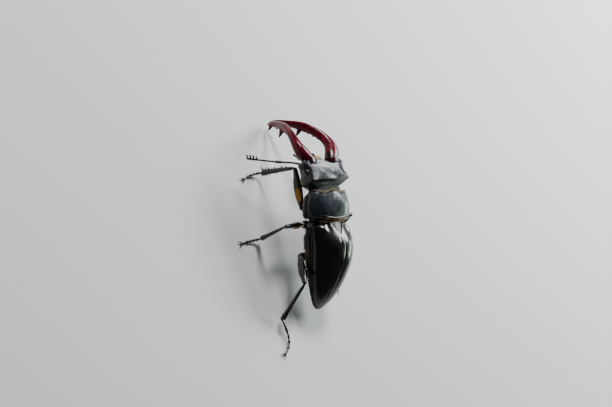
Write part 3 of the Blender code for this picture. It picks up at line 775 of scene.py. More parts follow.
@dataclass
class Strewn:
    """Something small that grows all over part of a piece."""

    name: str
    per_mm2: float
    cover: Cover  # from a point and its normal, in the shape's own frame, to a share from 0 to 1
    seed: int

    def grow(self, skin: Object, place: Matrix, slot: str, group: NodeTree, inputs: dict[str, object],
             lie: Vector) -> Object:
        """Strews over a finished piece and places the result, one plain mesh, on the beetle.

        Args:
            skin: the piece that it grows on.
            place: the frame of the piece's shape.
            slot: its slot; not used.
            group: the tree that does it.
            inputs: what else goes into the tree's named inputs.
            lie: where hairs point, in the shape's own frame.

        Returns:
            The new object.
        """
        mesh = skin.data.copy()
        back = place.inverted()
        turn = back.to_3x3()
        shares = [clamp(self.cover(back @ (vert.co / MM), turn @ vert.normal)) for vert in mesh.vertices]
        mesh.attributes.new("cover", "FLOAT", "POINT").data.foreach_set("value", shares)
        towards = (place.to_3x3() @ lie).normalized()
        lies = mesh.attributes.new("lie", "FLOAT_VECTOR", "POINT")
        lies.data.foreach_set("vector", np.tile(np.array(towards, np.float32), len(mesh.vertices)))
        obj = bpy.data.objects.new(self.name, mesh)
        bpy.context.scene.collection.objects.link(obj)
        modifier = obj.modifiers.new("strew", "NODES")
        modifier.node_group = group
        sockets = {item.name: item.identifier for item in group.interface.items_tree
                   if item.item_type == "SOCKET" and item.in_out == "INPUT"}
        for key, value in ({"Density": self.per_mm2 / MM**2, "Seed": self.seed} | inputs).items():
            modifier[sockets[key]] = value
        obj = settled(obj)
        for name in ("cover", "lie", "root", "spot"):
            if name in obj.data.attributes:
                obj.data.attributes.remove(obj.data.attributes[name])
        place_on_beetle(obj, slot)
        return obj


@dataclass
class Coat(Strewn):
    """Short hair in tufts."""

    length: float  # mm
    thickness: float  # share of the length
    lay: float  # 0 stands upright, 1 lies flat
    lie: Vector = field(default_factory=lambda: Vector((0, 1, 0)))

    def over(self, skin: Object, place: Matrix, material: Material, slot: str) -> None:
        """Grows the coat over a piece."""
        inputs = {"Length": self.length * MM, "Thickness": self.thickness, "Lay": self.lay,
                  "Material": material}
        self.grow(skin, place, slot, coat_tree(), inputs, self.lie)


@dataclass
class Granules(Strewn):
    """Small raised grains."""

    radius: float  # mm

    def over(self, skin: Object, place: Matrix, material: Material, slot: str) -> None:
        """Grows the grains over a piece."""
        inputs = {"Radius": self.radius * MM, "Material": material}
        grains = self.grow(skin, place, slot, granule_tree(), inputs, UP)
        grains.data.shade_smooth()


# ----------------------------------------------------------------------------------------- stance


@dataclass
class Elytra:
    """The wing cases, in the trunk's frame: its origin is on the midline in front of them, level with their
    margins."""

    start: float = 0.9
    length: float = 29.4
    half_width: float = 9.7
    widest: float = 11.0
    rise: float = 5.7
    lift: float = 0.9
    droop: float = 6.3
    dome_full_at: float = 9.0
    rim: float = 0.32  # width of the flat rim outside the dome
    stations: int = 120
    across: int = 64

    def half_width_at(self, y: float) -> float:
        """Half the width of both wing cases together."""
        if y < self.widest:
            shoulder = 0.09 * (1 - y / self.widest) ** 2.2
            corner = 0.10 * (1 - ease((y - self.start) / 1.6))
            return self.half_width * (1 - shoulder - corner)
        return self.half_width * arch((y - self.widest) / (self.length - self.widest), 1.75)

    def rise_at(self, y: float) -> float:
        """Height of the dome above the margins."""
        full = self.dome_full_at
        if y < full:
            return self.rise * (0.62 + 0.38 * ease((y - self.start) / (full - self.start)) ** 0.6)
        return self.rise * arch((y - full) / (self.length - full), 1.55)

    def margin_at(self, y: float) -> float:
        """Height of the margins."""
        return self.lift * bump(y, 10.0, 7.0) - self.droop * clamp(y / self.length) ** 3

    def top_at(self, x: float, y: float) -> float:
        """Height of the plain dome."""
        across = clamp(abs(x) / self.half_width_at(y)) ** 2.3
        return self.margin_at(y) + self.rise_at(y) * (1 - across) ** 0.5


@dataclass
class Scutellum:
    """The small shield between the roots of the wing cases."""

    half_width: float = 2.7
    end: float = 5.0
    sunk: float = 0.35  # below the dome of the wing cases
    depth: float = 2.2

    def half_width_at(self, y: float, start: float) -> float:
        """Half its width."""
        return self.half_width * arch((y - start) / (self.end - start), 1.3)


@dataclass
class Stance:
    """Where trunk and head are in the world, from the frame."""

    elytra: Elytra
    scutellum: Scutellum
    height: float = 16.0
    pitch: float = 12.0
    head_pivot: Place = (0.0, -9.6, 0.8)
    head_turn: Place = (11.5, -2.0, 3.5)

    def __post_init__(self) -> None:
        """Finds how far the ground frame is shifted, from the scutellum's lowest front edge."""
        low, high = (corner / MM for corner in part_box("scutellum"))
        tilt = Matrix.Rotation(math.radians(-self.pitch), 4, "X")
        start = self.elytra.start
        foot = self.elytra.top_at(0, start) - self.scutellum.sunk - self.scutellum.depth
        front = tilt @ Vector((0, start, foot))
        self.shift = Vector(((low.x + high.x) / 2, low.y - front.y, 0))
        self.ground = Matrix.Translation(self.shift)
        self.trunk = Matrix.Translation(self.shift + Vector((0, 0, self.height))) @ tilt
        turn = Euler([math.radians(angle) for angle in self.head_turn]).to_matrix().to_4x4()
        self.head = self.trunk @ Matrix.Translation(self.head_pivot) @ turn
        log.info("shift of the ground frame: %.3f, %.3f mm", self.shift.x, self.shift.y)


# ------------------------------------------------------------------------------------------ trunk


@dataclass
class WingCases:
    """Both wing cases and the scutellum between them."""

    stance: Stance
    finishes: Finishes
    seam: float = 0.05  # half the slit between the wing cases
    rim_section: Table = ((0.35, 0.03), (0.65, 0.06), (0.85, 0.13), (0.96, 0.12), (1.0, 0.02), (0.97, -0.14),
                          (0.8, -0.26), (0.3, -0.36), (-0.4, -0.42))  # shares of the rim outwards, mm up

    def _top(self, x: float, y: float) -> float:
        """Height of the finished surface: a dome in a flat rim, a shoulder knob and a bead at the seam."""
        shape = self.stance.elytra
        half = shape.half_width_at(y)
        dome = max(half - shape.rim, 0.05)
        across = clamp(abs(x) / dome)
        height = shape.margin_at(y) + shape.rise_at(y) * (1 - across**2.3) ** 0.5
        height += 0.42 * bump(abs(x) / half, 0.70, 0.13) * bump(y, 3.3, 1.5)
        height -= 0.16 * bump(abs(x) / half, 0.50, 0.10) * bump(y, 2.6, 1.4)
        bead = ease((y - self.stance.scutellum.end) / 2.0) * ease((half - 1.0) / 2.0)
        height += (0.07 * bump(abs(x), 0.30, 0.22) - 0.07 * bump(abs(x), 0.95, 0.22)) * bead
        return height - 0.75 * (1 - ease((y - shape.start) / 1.0)) ** 2

    def build_case(self, side: Side) -> None:
        """Builds one wing case."""
        shape, scutellum = self.stance.elytra, self.stance.scutellum
        tip = shape.length - 0.12
        rings = []
        for t in evenly(shape.stations):
            y = mix(shape.start, tip, 1 - (1 - t) ** 1.5 if t > 0.06 else t * 1.485)
            inner = self.seam
            if y < scutellum.end:
                inner = max(inner, scutellum.half_width_at(y, shape.start) + self.seam)
            half = shape.half_width_at(y)
            dome = max(half - shape.rim, inner + 0.02)
            margin = shape.margin_at(y)
            ring = []
            for k in range(shape.across):
                x = mix(inner, dome, math.sin(0.5 * math.pi * k / (shape.across - 1)))
                ring.append((x, self._top(x, y)))
            thick = min(1.0, half / 1.2)
            ring += [(dome + (half - dome) * out, margin + up * thick) for out, up in self.rim_section]
            ring += [(mix(inner, dome - 0.1, share), margin - 0.42 * thick)
                     for share in (0.8, 0.55, 0.3, 0.1, 0.0)]
            rings.append([Vector((side.value * x, y, z)) for x, z in ring])
        Shape(self.stance.trunk, rings).shown("wing_case_" + side.word, self.finishes.elytra, "elytra_shell",
                                              "elytron_" + side.word)

    def build_scutellum(self) -> None:
        """Builds the scutellum, with short hair on it."""
        shape, plate = self.stance.elytra, self.stance.scutellum
        rings = []
        for t in evenly(40):
            y = mix(shape.start - 0.1, plate.end, t)
            half = max(plate.half_width_at(max(y, shape.start), shape.start) - 0.04, 0.12)
            top = shape.top_at(0, max(y, shape.start)) - plate.sunk
            ring = []
            for k in evenly(25):
                across = mix(1, -1, k)
                crown = 0.34 * (1 - across**2) * half / plate.half_width
                groove = 0.10 * bump(abs(across), 0.86, 0.08) * clamp(half)
                ring.append(Vector((half * across, y, top + crown - groove)))
            ring += [Vector((half * share, y, top - plate.depth)) for share in (-0.8, 0.0, 0.8)]
            rings.append(ring)
        shield = Shape(self.stance.trunk, rings).shown("scutellum_shield", self.finishes.scutellum,
                                                       "scutellum_shell", "scutellum")
        hair = Coat("scutellum_hair", 24.0,
                    lambda point, normal: ease(normal.z * 2 - 0.6) * ease((3.4 - point.y) / 2.2), seed=11,
                    length=0.36, thickness=0.05, lay=0.85)
        hair.over(shield, self.stance.trunk, self.finishes.tawny, "scutellum_shell")

    def build(self) -> None:
        """Builds all three."""
        for side in Side:
            self.build_case(side)
        self.build_scutellum()


@dataclass
class Pronotum:
    """The shield over the front of the trunk."""

    stance: Stance
    finishes: Finishes
    front: float = -9.4
    rear: float = -0.45
    rise: float = 4.2
    half_width: float = 10.1
    front_half_width: float = 8.5
    rear_half_width: float = 9.7
    margin: float = 0.4
    stations: int = 84
    count: int = 176

    def half_width_at(self, t: float) -> float:
        """Half its width, from the front edge, t = 0, to the rear edge, t = 1."""
        straight = mix(self.front_half_width, self.rear_half_width, t)
        middle = (self.front_half_width + self.rear_half_width) / 2
        return straight + (self.half_width - middle) * math.sin(math.pi * clamp(t) ** 1.25)

    def _ring(self, t: float) -> Ring:
        """One section across, t along."""
        edge = arch(abs(2 * t - 1) ** 6, 2)
        half = self.half_width_at(t) * mix(0.965, 1.0, edge)
        crown = 0.80 + 0.20 * math.sin(math.pi * (0.1 + 0.85 * t))
        rise = self.rise * crown * mix(0.90, 1.0, edge)
        bead = 0.10 * bump(t, 0.045, 0.016) + 0.09 * bump(t, 0.955, 0.016)
        groove = 0.10 * bump(t, 0.085, 0.018) + 0.08 * bump(t, 0.915, 0.018)
        ring = []
        for i in range(self.count):
            angle = 2 * math.pi * i / self.count
            across = signed_power(math.cos(angle), 0.8)
            height = math.sin(angle)
            if height > 0:
                side = abs(across)
                z = rise * height + (bead - groove) * height**0.3
                z -= 0.07 * bump(side, 0.60, 0.07) * bump(t, 0.52, 0.09)
                z -= 0.10 * bump(side, 0.30, 0.16) * bump(t, 0.86, 0.10)
                z += 0.10 * bump(side, 0.965, 0.012) - 0.10 * bump(side, 0.93, 0.018)
                z -= 0.06 * bump(side, 0.0, 0.035) * bump(t, 0.5, 0.3)
            else:
                z = 1.1 * signed_power(height, 0.5)
            front_edge = -0.55 * math.cos(2 * math.pi * across) * max(height, 0) ** 0.3
            rear_edge = 0.5 * math.cos(math.pi * across) - 0.1
            y = mix(self.front, self.rear, t) + mix(front_edge, rear_edge, ease(t))
            ring.append(Vector((half * across, y, self.margin + z)))
        return ring

    def build(self) -> None:
        """Builds the shield and the fringes of hair along its front and rear edges."""
        stations = [0.5 - 0.5 * math.cos(math.pi * share) for share in evenly(self.stations)]
        shield = Shape(self.stance.trunk, [self._ring(t) for t in stations]).shown(
            "neck_shield", self.finishes.pronotum, "pronotum_shell", "pronotum")
        front = Coat("front_fringe", 420.0, self._front_cover, seed=3, length=0.28, thickness=0.08, lay=0.45,
                     lie=Vector((0, -0.6, 1)))
        rear = Coat("rear_fringe", 165.0, self._rear_cover, seed=4, length=0.30, thickness=0.095, lay=0.6,
                    lie=Vector((0, 1, 0.5)))
        for fringe in (front, rear):
            fringe.over(shield, self.stance.trunk, self.finishes.gold, "pronotum_shell")

    def _straight(self, point: Vector) -> float:
        """How far back a point lies, free of the waves of the edges."""
        across = clamp(abs(point.x) / 9.0)
        front_edge = -0.55 * math.cos(2 * math.pi * across)
        rear_edge = 0.5 * math.cos(math.pi * across) - 0.1
        return point.y - mix(front_edge, rear_edge, ease((point.y - self.front) / (self.rear - self.front)))

    def _front_cover(self, point: Vector, normal: Vector) -> float:
        """How dense the hair is near the front edge."""
        past = self._straight(point) - self.front
        return (ease((0.10 - past) / 0.10) * ease(point.z - 0.9) * ease((past + 0.02) / 0.04)
                * ease(normal.z * 3 + 1.0))

    def _rear_cover(self, point: Vector, normal: Vector) -> float:
        """How dense the hair is near the rear edge; it thins out towards the left side."""
        edge = ease((self._straight(point) - self.rear + 0.08) / 0.10) * ease(point.z - 0.9)
        return edge * ease(normal.z * 3 + 1.0) * mix(1.0, 0.12, ease((point.x + 1.5) / 3))


@dataclass
class Belly:
    """The plates under the trunk, the waist that joins pronotum and wing cases, and the soft skin inside."""

    stance: Stance
    finishes: Finishes
    pronotum: Pronotum
    depth: float = 6.3
    top_gap: float = 1.1  # from the wing cases' margins down to the plates
    count: int = 96
    edges: tuple[float, ...] = (3.9, 12.2, 15.8, 19.0, 22.0, 24.8, 28.3)
    names: tuple[str, ...] = ("metathorax", "abdomen_1", "abdomen_2", "abdomen_3", "abdomen_4", "abdomen_5")

    def bottom_at(self, y: float) -> float:
        """Height of the underside along the trunk."""
        if y < 9:
            return -self.depth + 1.5 * ease((9 - y) / 18)
        return self.stance.elytra.margin_at(y) - mix(self.depth, 1.6, ease((y - 9) / 20) ** 1.2)

    def ring(self, y: float, half_width: float, top: float, bottom: float, count: int = 0) -> Ring:
        """A section across: boxy above, rounder below."""
        count = count or self.count
        widest = mix(top, bottom, 0.3)
        ring = []
        for i in range(count):
            angle = 2 * math.pi * i / count
            up = math.sin(angle)
            x = half_width * signed_power(math.cos(angle), 0.5 if up > 0 else 0.85)
            if up > 0:
                z = widest + (top - widest) * up**0.5
            else:
                z = widest - (widest - bottom) * abs(up) ** 0.9
            ring.append(Vector((x, y, z)))
        return ring

    def _plate(self, name: str, rings: Sequence[Ring], node: str) -> Object:
        """Makes one plate and places it."""
        return Shape(self.stance.trunk, rings).shown(name, self.finishes.underside, "underside", node)

    def _hair(self, coat: Coat, plate: Object) -> None:
        """Grows tawny hair over a plate."""
        coat.over(plate, self.stance.trunk, self.finishes.tawny, "underside")

    def _front(self) -> None:
        """Builds the plate under the pronotum."""
        front, rear = self.pronotum.front, self.pronotum.rear
        rings = []
        for share in evenly(40):
            y = mix(front + 0.1, -0.75, share)
            t = (y - front) / (rear - front)
            inset = 0.88 - 0.12 * (1 - ease((y - front) / 1.8)) - 0.10 * ease((y + 2.0) / 1.3)
            lift = 1.0 * (1 - ease((y - front) / 1.6)) + 0.3 * ease((y + 1.4) / 0.6)
            half = self.pronotum.half_width_at(t) * inset
            rings.append(self.ring(y, half, -0.8, self.bottom_at(y) + lift))
        plate = self._plate("front_plate", rings, "prosternum")
        self._hair(Coat("front_plate_hair", 6.0, lambda point, normal: ease(-normal.z * 2 - 0.8), seed=5,
                        length=0.75, thickness=0.035, lay=0.85), plate)

    def _waist(self) -> None:
        """Builds the waist, which shows above between pronotum and wing cases, with its hair."""
        elytra = self.stance.elytra
        rings = []
        for t in evenly(10):
            y = mix(-0.55, 0.72, t)
            rings.append(self.ring(y, 6.3 + 0.45 * t, 2.75 - 0.7 * (1 - t) ** 2, self.bottom_at(y) + 0.3))
        for t in evenly(24):
            y = mix(0.78, 3.95, t)
            top = elytra.margin_at(y) - self.top_gap + 0.3
            rings.append(self.ring(y, elytra.half_width_at(y) * 0.80, top, self.bottom_at(y)))
        waist = self._plate("waist", rings, "mesothorax")
        self._hair(Coat("waist_hair", 30.0,
                        lambda point, normal: ease(point.z - 1.2) * ease((0.9 - point.y) / 0.4), seed=6,
                        length=0.5, thickness=0.05, lay=0.75, lie=Vector((0, 1, 0.2))), waist)
        self._hair(Coat("waist_lower_hair", 8.0, lambda point, normal: ease(-normal.z * 2 - 0.8), seed=7,
                        length=0.8, thickness=0.035, lay=0.85), waist)

    def _segments(self) -> None:
        """Builds the metathorax and the five rings of the abdomen; each runs a little under the next."""
        elytra = self.stance.elytra
        for number, (name, start, end) in enumerate(zip(self.names, self.edges, self.edges[1:])):
            first = number == 0
            rings = []
            for t in evenly(48 if first else 26):
                y = mix(start - 0.1, end - 0.05, t)
                inset = 0.93 + 0.07 * ease(t / 0.12) - 0.035 * ease((t - 0.94) / 0.06)
                half = max(elytra.half_width_at(y) - 1.1, 0.6) * inset
                top = elytra.margin_at(y) - self.top_gap
                ring = self.ring(y, half, top, mix(top, self.bottom_at(y), inset))
                for point in ring:
                    if first and point.z < top - 2:
                        point.z += 0.20 * bump(point.x, 0.0, 0.25) * ease((t - 0.1) / 0.3)
                rings.append(ring)
            dense, length = (9.0, 0.8) if first else (4.5, 0.45)
            coat = Coat("belly_hair_" + name, dense, self._belly_cover(start, end, first), seed=20 + number,
                        length=length, thickness=0.035, lay=0.88)
            self._hair(coat, self._plate("belly_" + name, rings, name))

    @staticmethod
    def _belly_cover(start: float, end: float, even: bool) -> Cover:
        """Hair all over the metathorax, and mostly near the rear edge of the other rings."""
        def cover(point: Vector, normal: Vector) -> float:
            """How dense it is at a point."""
            past = (point.y - mix(start, end, 0.7)) / (0.2 * (end - start))
            return (1.0 if even else 0.25 + 0.75 * ease(past)) * ease(-normal.z * 2 - 0.7)
        return cover

    def _core(self) -> None:
        """Builds the soft dark skin just inside the plates, from the neck to the tip."""
        elytra = self.stance.elytra
        rings = []
        for share in evenly(60):
            y = mix(-11.0, 27.9, share)
            if y < 0.5:
                half = mix(6.9, 7.7, ease((y + 11) / 2))
                top = mix(1.2, 2.2, ease((y + 11) / 4))
                bottom = mix(-3.4, self.bottom_at(y) + 1.2, ease((y + 11) / 3))
            else:
                half = max(elytra.half_width_at(y) * 0.9 - 1.1, 0.4)
                top = elytra.margin_at(y) - 0.6
                bottom = mix(top, self.bottom_at(y), 0.88)
            rings.append(self.ring(y, half, top, bottom, 48))
        Shape(self.stance.trunk, rings).shown("inner_skin", self.finishes.skin, "underside")

    def build(self) -> None:
        """Builds every plate and the skin inside."""
        self._front()
        self._waist()
        self._segments()
        self._core()


# ------------------------------------------------------------------------------------------- head


@dataclass
class Head:
    """The head's box with its ridge, its eyes and the grains on it; +Y is its rear."""

    stance: Stance
    finishes: Finishes
    rear: float = -0.85
    front: float = -10.3
    half_width: float = 10.2
    neck: float = 6.6
    ridge_at: float = -3.4
    ridge_height: float = 4.2
    eye_at: tuple[float, float] = (-6.4, 0.3)
    eye_radius: float = 1.5
    count: int = 240
    stations: int = 120

    def half_width_at(self, y: float) -> float:
        """Neck, temples, the pinch behind the eyes, and the corners beside the jaws."""
        neck = mix(self.neck, self.half_width, ease((self.rear - y) / (self.rear - self.ridge_at)))
        pinch = 0.65 * bump(y, -6.2, 1.6)
        corner = 0.75 * bump(y, -9.4, 1.1)
        taper = 0.45 * ease((self.ridge_at - y) / (self.ridge_at - self.front))
        return neck - pinch + corner - taper

    def top_at(self, across: float, y: float) -> float:
        """Height of the upper surface; across runs from -1 to 1 over the width."""
        side = abs(across)
        past = y - self.ridge_at
        low = self.ridge_height - 0.8
        if past > 0:
            plate = mix(low, 1.95, ease(past / 0.95)) - 0.85 * ease((past - 0.7) / 1.9)
        else:
            plate = mix(low, 1.9, clamp(past / (self.front - self.ridge_at)))
        lobes = 0.72 * bump(side, 0.50, 0.28) * crease(past, 1.0, 0.32)
        temple = 0.60 * bump(side, 0.93, 0.10) * crease(past, 1.2, 0.40)
        rim = 0.50 * bump(side, 0.87, 0.09) * ease(-past / 2.0)
        hollow = 0.75 * (1 - side**2) * bump(y, -8.2, 2.6)
        dent = 0.22 * bump(side, 0.30, 0.12) * bump(y, -5.8, 1.2)
        return plate + lobes + temple + rim - hollow - dent

    def _ring(self, y: float) -> Ring:
        """One section across the head."""
        shrink = 1 - 0.10 * (1 - ease((self.rear - y) / 1.3)) - 0.07 * ease((-9.5 - y) / 0.8) ** 2
        half = self.half_width_at(y) * shrink
        bottom = mix(-5.2, -3.6, ease((-4.5 - y) / 6)) * shrink
        ring = []
        for i in range(self.count):
            angle = 2 * math.pi * i / self.count
            across = signed_power(math.cos(angle), 0.72)
            height = math.sin(angle)
            scoop = 0.9 * bump(abs(across), 0.42, 0.26) * ease((-8.6 - y) / 1.7)
            if height >= 0:
                z = self.top_at(across, y) * height**0.22 * (0.86 + 1.4 * (shrink - 0.9))
            else:
                z = bottom * abs(height) ** 0.75
            narrowing = 1 - 0.07 * clamp(-height)
            ring.append(Vector((half * across * narrowing, y + scoop * clamp(height + 0.5), z)))
        return ring

    def build(self) -> None:
        """Builds the box, its grains and both eyes."""
        rings = [self._ring(mix(self.rear, self.front, t)) for t in evenly(self.stations)]
        box = Shape(self.stance.head, rings).shown("head_box", self.finishes.head, "head_shell", "head",
                                                   sharp=32.0)
        grains = Granules("head_grains", 38.0, self._grain_cover, seed=8, radius=0.050)
        grains.over(box, self.stance.head, self.finishes.head, "head_shell")
        hair = Coat("temple_hair", 5.0, lambda point, normal: ease(-normal.z - 0.1), seed=9, length=0.55,
                    thickness=0.04, lay=0.7, lie=-ALONG)
        hair.over(box, self.stance.head, self.finishes.gold, "head_shell")
        for side in Side:
            self._eye(side)

    def _grain_cover(self, point: Vector, normal: Vector) -> float:
        """Grains in front of the ridge, and denser towards the sides."""
        on_top = ease(normal.z * 3 - 1) * ease((self.ridge_at - point.y) * 2)
        return on_top * (0.45 + 0.55 * ease((abs(point.x) - 4) / 4))

    def _eye(self, side: Side) -> None:
        """Builds an eye and the ridge of shell that runs across its front half."""
        y, z = self.eye_at
        out = self.half_width_at(y) - 0.15
        solid = Shape(self.stance.head)
        solid.ball(Vector((side.value * out, y, z)), Vector((side.value, 0, 0.15)), self.eye_radius, 1.0, 48)
        solid.shown("eye_lens_" + side.word, self.finishes.eye, "eye_shell", "eye_" + side.word)
        ridge = Shape(self.stance.head)
        bends = ((1.4, -0.1, 0.1), (-0.2, 1.15, 0.3), (-2.3, 1.45, 0.5), (-4.0, 0.3, 0.7))
        path = [Vector((side.value * (out + bulge), y + along, z + up)) for along, bulge, up in bends]
        ridge.tube(path, ((0.0, 0.15), (0.3, 0.34), (0.7, 0.42), (1.0, 0.3)), UP, 20)
        ridge.shown("eye_ridge_" + side.word, self.finishes.head, "head_shell")


@dataclass
class Jaws:
    """Both jaws with their teeth; the curve is the left one's centre line in the head's frame."""

    stance: Stance
    finishes: Finishes
    curve: tuple[Place, ...] = (
        (6.1, -10.9, 0.3), (13.0, -16.3, 0.0), (6.6, -25.8, -3.8), (2.1, -29.4, -17.5))
    swing: dict[Side, float] = field(default_factory=lambda: {Side.LEFT: -8.0, Side.RIGHT: 3.0})
    width: float = 2.8
    depth: float = 2.1
    tip: float = 0.30
    sections: int = 96
    around: int = 40
    voxel: float = 0.13
    teeth: Table = (
        (0.30, 0.5, 0.42), (0.36, 0.9, 0.5), (0.44, 1.1, 0.5), (0.52, 1.2, 0.5), (0.60, 1.0, 0.45),
        (0.65, 0.7, 0.4), (0.71, 3.1, 0.9), (0.765, 0.7, 0.4), (0.80, 0.9, 0.4), (0.85, 0.7, 0.38),
        (0.93, 2.0, 0.7))  # how far along the jaw, how long and how thick each tooth is

    def points(self, side: Side) -> list[Vector]:
        """The centre line's control points, swung about the jaw's base."""
        points = [Vector((side.value * x, y, z)) for x, y, z in self.curve]
        turn = Matrix.Rotation(math.radians(self.swing[side]), 3, "Z")
        return [points[0] + turn @ (point - points[0]) for point in points]

    @staticmethod
    def inward(points: Sequence[Vector], side: Side, t: float) -> Vector:
        """The concave side's direction, where the teeth point."""
        t = clamp(t, 0.01, 0.99)
        here, before, after = bezier(points, t), bezier(points, t - 0.01), bezier(points, t + 0.01)
        along = (after - before).normalized()
        bend = before + after - here * 2
        concave = (bend - along * bend.dot(along)).normalized()
        aim = Vector((-side.value, 0, 0)).lerp(concave, ease((t - 0.1) / 0.5))
        return (aim - along * aim.dot(along)).normalized()

    def size(self, t: float) -> tuple[float, float]:
        """Half width and half depth: stout at the base, waisted, swollen at the big tooth."""
        swell = 0.35 * bump(t, 0.70, 0.10) + 0.04 * bump(t, 0.92, 0.07)
        width = mix(self.width, 1.75, ease((t - 0.05) / 0.4)) - 0.73 * ease((t - 0.3) / 0.6) + swell
        depth = mix(self.depth, 1.35, ease((t - 0.05) / 0.4)) - 0.45 * ease((t - 0.3) / 0.6)
        end = arch((t - 0.90) / 0.102, 2.0) if t > 0.90 else 1.0
        return max(width * end, self.tip), max(depth * end, self.tip)

    def _bar(self, side: Side, points: Sequence[Vector]) -> list[Ring]:
        """Sections of the bar, from inside the head to the tip, a little keeled on top and inside."""
        rings = []
        root = bezier(points, 0)
        for share in evenly(self.sections):
            t = mix(-0.06, 0.994, share)
            along = (-ALONG).lerp(heading(points, clamp(t, 0.01, 0.99)), ease(t / 0.22))
            centre = bezier(points, t) if t > 0 else root + ALONG * (-t * 26)
            width, depth = self.size(max(t, 0))
            ring = oval(centre, along, self.inward(points, side, t), width, depth, self.around)
            for i, point in enumerate(ring):
                angle = 2 * math.pi * i / self.around
                keel = 0.07 * math.cos(3 * angle) * ease(t / 0.2) * (1 - ease((t - 0.8) / 0.2))
                ring[i] = point + (point - centre) * keel
            rings.append(ring)
        return rings

    def build_one(self, side: Side) -> None:
        """Builds one jaw, melts its teeth into it, and marks how dark each point is."""
        points = self.points(side)
        solid = Shape(self.stance.head)
        solid.loft(self._bar(side, points))
        for t, length, radius in self.teeth:
            inward = self.inward(points, side, t)
            along = heading(points, t)
            base = bezier(points, t) + inward * (self.size(t)[0] * 0.72)
            solid.spike(base, inward, length, radius * 1.08, hook=along * (0.30 * length), count=20)
        jaw = fused(solid.piece("jaw_" + side.word, self.finishes.jaw), self.voxel, 3)
        self._mark_dark(jaw, points, side)
        place_on_beetle(jaw, "jaw", "mandible_" + side.word)

    def _mark_dark(self, jaw: Object, points: Sequence[Vector], side: Side) -> None:
        """Stores the attribute tone: 1 where the jaw is nearly black, at its base, its teeth and its tips."""
        samples = 200
        tree = kdtree.KDTree(samples + 1)
        for i in range(samples + 1):
            tree.insert(bezier(points, i / samples), i)
        tree.balance()
        back = self.stance.head.inverted()
        tones = []
        for vert in jaw.data.vertices:
            point = back @ (vert.co / MM)
            centre, index, _ = tree.find(point)
            t = index / samples
            reach = (point - centre).dot(self.inward(points, side, t))
            base = 0.75 * (1 - ease((t + 0.01) / 0.11))
            end = ease((t - 0.90) / 0.09)
            tooth = ease((reach / self.size(t)[0] - 0.95) / 0.55) * ease((t - 0.25) / 0.05)
            tones.append(max(base, end, tooth))
        jaw.data.attributes.new("tone", "FLOAT", "POINT").data.foreach_set("value", tones)

    def build(self) -> None:
        """Builds both jaws."""
        for side in Side:
            self.build_one(side)


@dataclass
class Mouth:
    """The plates in front of and under the mouth, the palps and the golden brushes."""

    stance: Stance
    finishes: Finishes
    belly: Belly
    lip: Table = ((-11.5, 0.9, -0.5), (-11.1, 1.8, 0.0), (-10.6, 2.2, 0.2), (-9.7, 2.3, 0.3))
    chin: Table = ((-12.0, 1.6, -2.8), (-11.3, 2.6, -2.4), (-10.6, 3.0, -2.2), (-9.7, 3.1, -2.0))
    maxillary: tuple[Place, ...] = ((3.7, -10.1, -2.7), (5.5, -12.6, -4.2), (5.0, -14.6, -6.0))
    labial: tuple[Place, ...] = ((1.1, -11.9, -3.0), (1.9, -13.2, -4.2), (1.6, -14.0, -5.4))

    def _plates(self) -> None:
        """Builds clypeus and mentum from tables of Y, half width and top, each with a brush in front."""
        for name, node, table, floor in (("upper_lip", "clypeus", self.lip, -1.6),
                                         ("chin", "mentum", self.chin, -3.6)):
            rings = []
            for t in evenly(24):
                y = mix(table[-1][0], table[0][0], t)
                rings.append(self.belly.ring(y, read_off(table, y), read_off(table, y, 2), floor, 64))
            plate = Shape(self.stance.head, rings).shown(name, self.finishes.head, "head_shell", node)
            brush = Coat(name + "_brush", 60.0,
                         lambda point, normal: ease(-normal.y * 2 - 0.3) * ease((-10.9 - point.y) * 2),
                         seed=12, length=0.9, thickness=0.035, lay=0.6, lie=Vector((0, -1, -0.8)))
            brush.over(plate, self.stance.head, self.finishes.gold, "head_shell")

    def _palp(self, name: str, path: Sequence[Sequence[float]], side: Side) -> None:
        """Builds a palp of three joints, each wider towards its end."""
        points = [Vector((side.value * x, y, z)) for x, y, z in path]
        solid = Shape(self.stance.head)
        joints = 3
        for joint in range(joints):
            start, end = joint / joints, (joint + 1) / joints
            sizes = ((start, 0.20), (mix(start, end, 0.15), 0.24), (mix(start, end, 0.8), 0.38), (end, 0.26))
            solid.tube(points, sizes, Vector((1, 0.3, 0)), 18, (start, end - 0.01), 24)
        solid.shown(name + "_joints_" + side.word, self.finishes.feeler, "feeler_shell",
                    name + "_" + side.word)

    def build(self) -> None:
        """Builds the mouth."""
        self._plates()
        for side in Side:
            self._palp("palp_maxillary", self.maxillary, side)
            self._palp("palp_labial", self.labial, side)


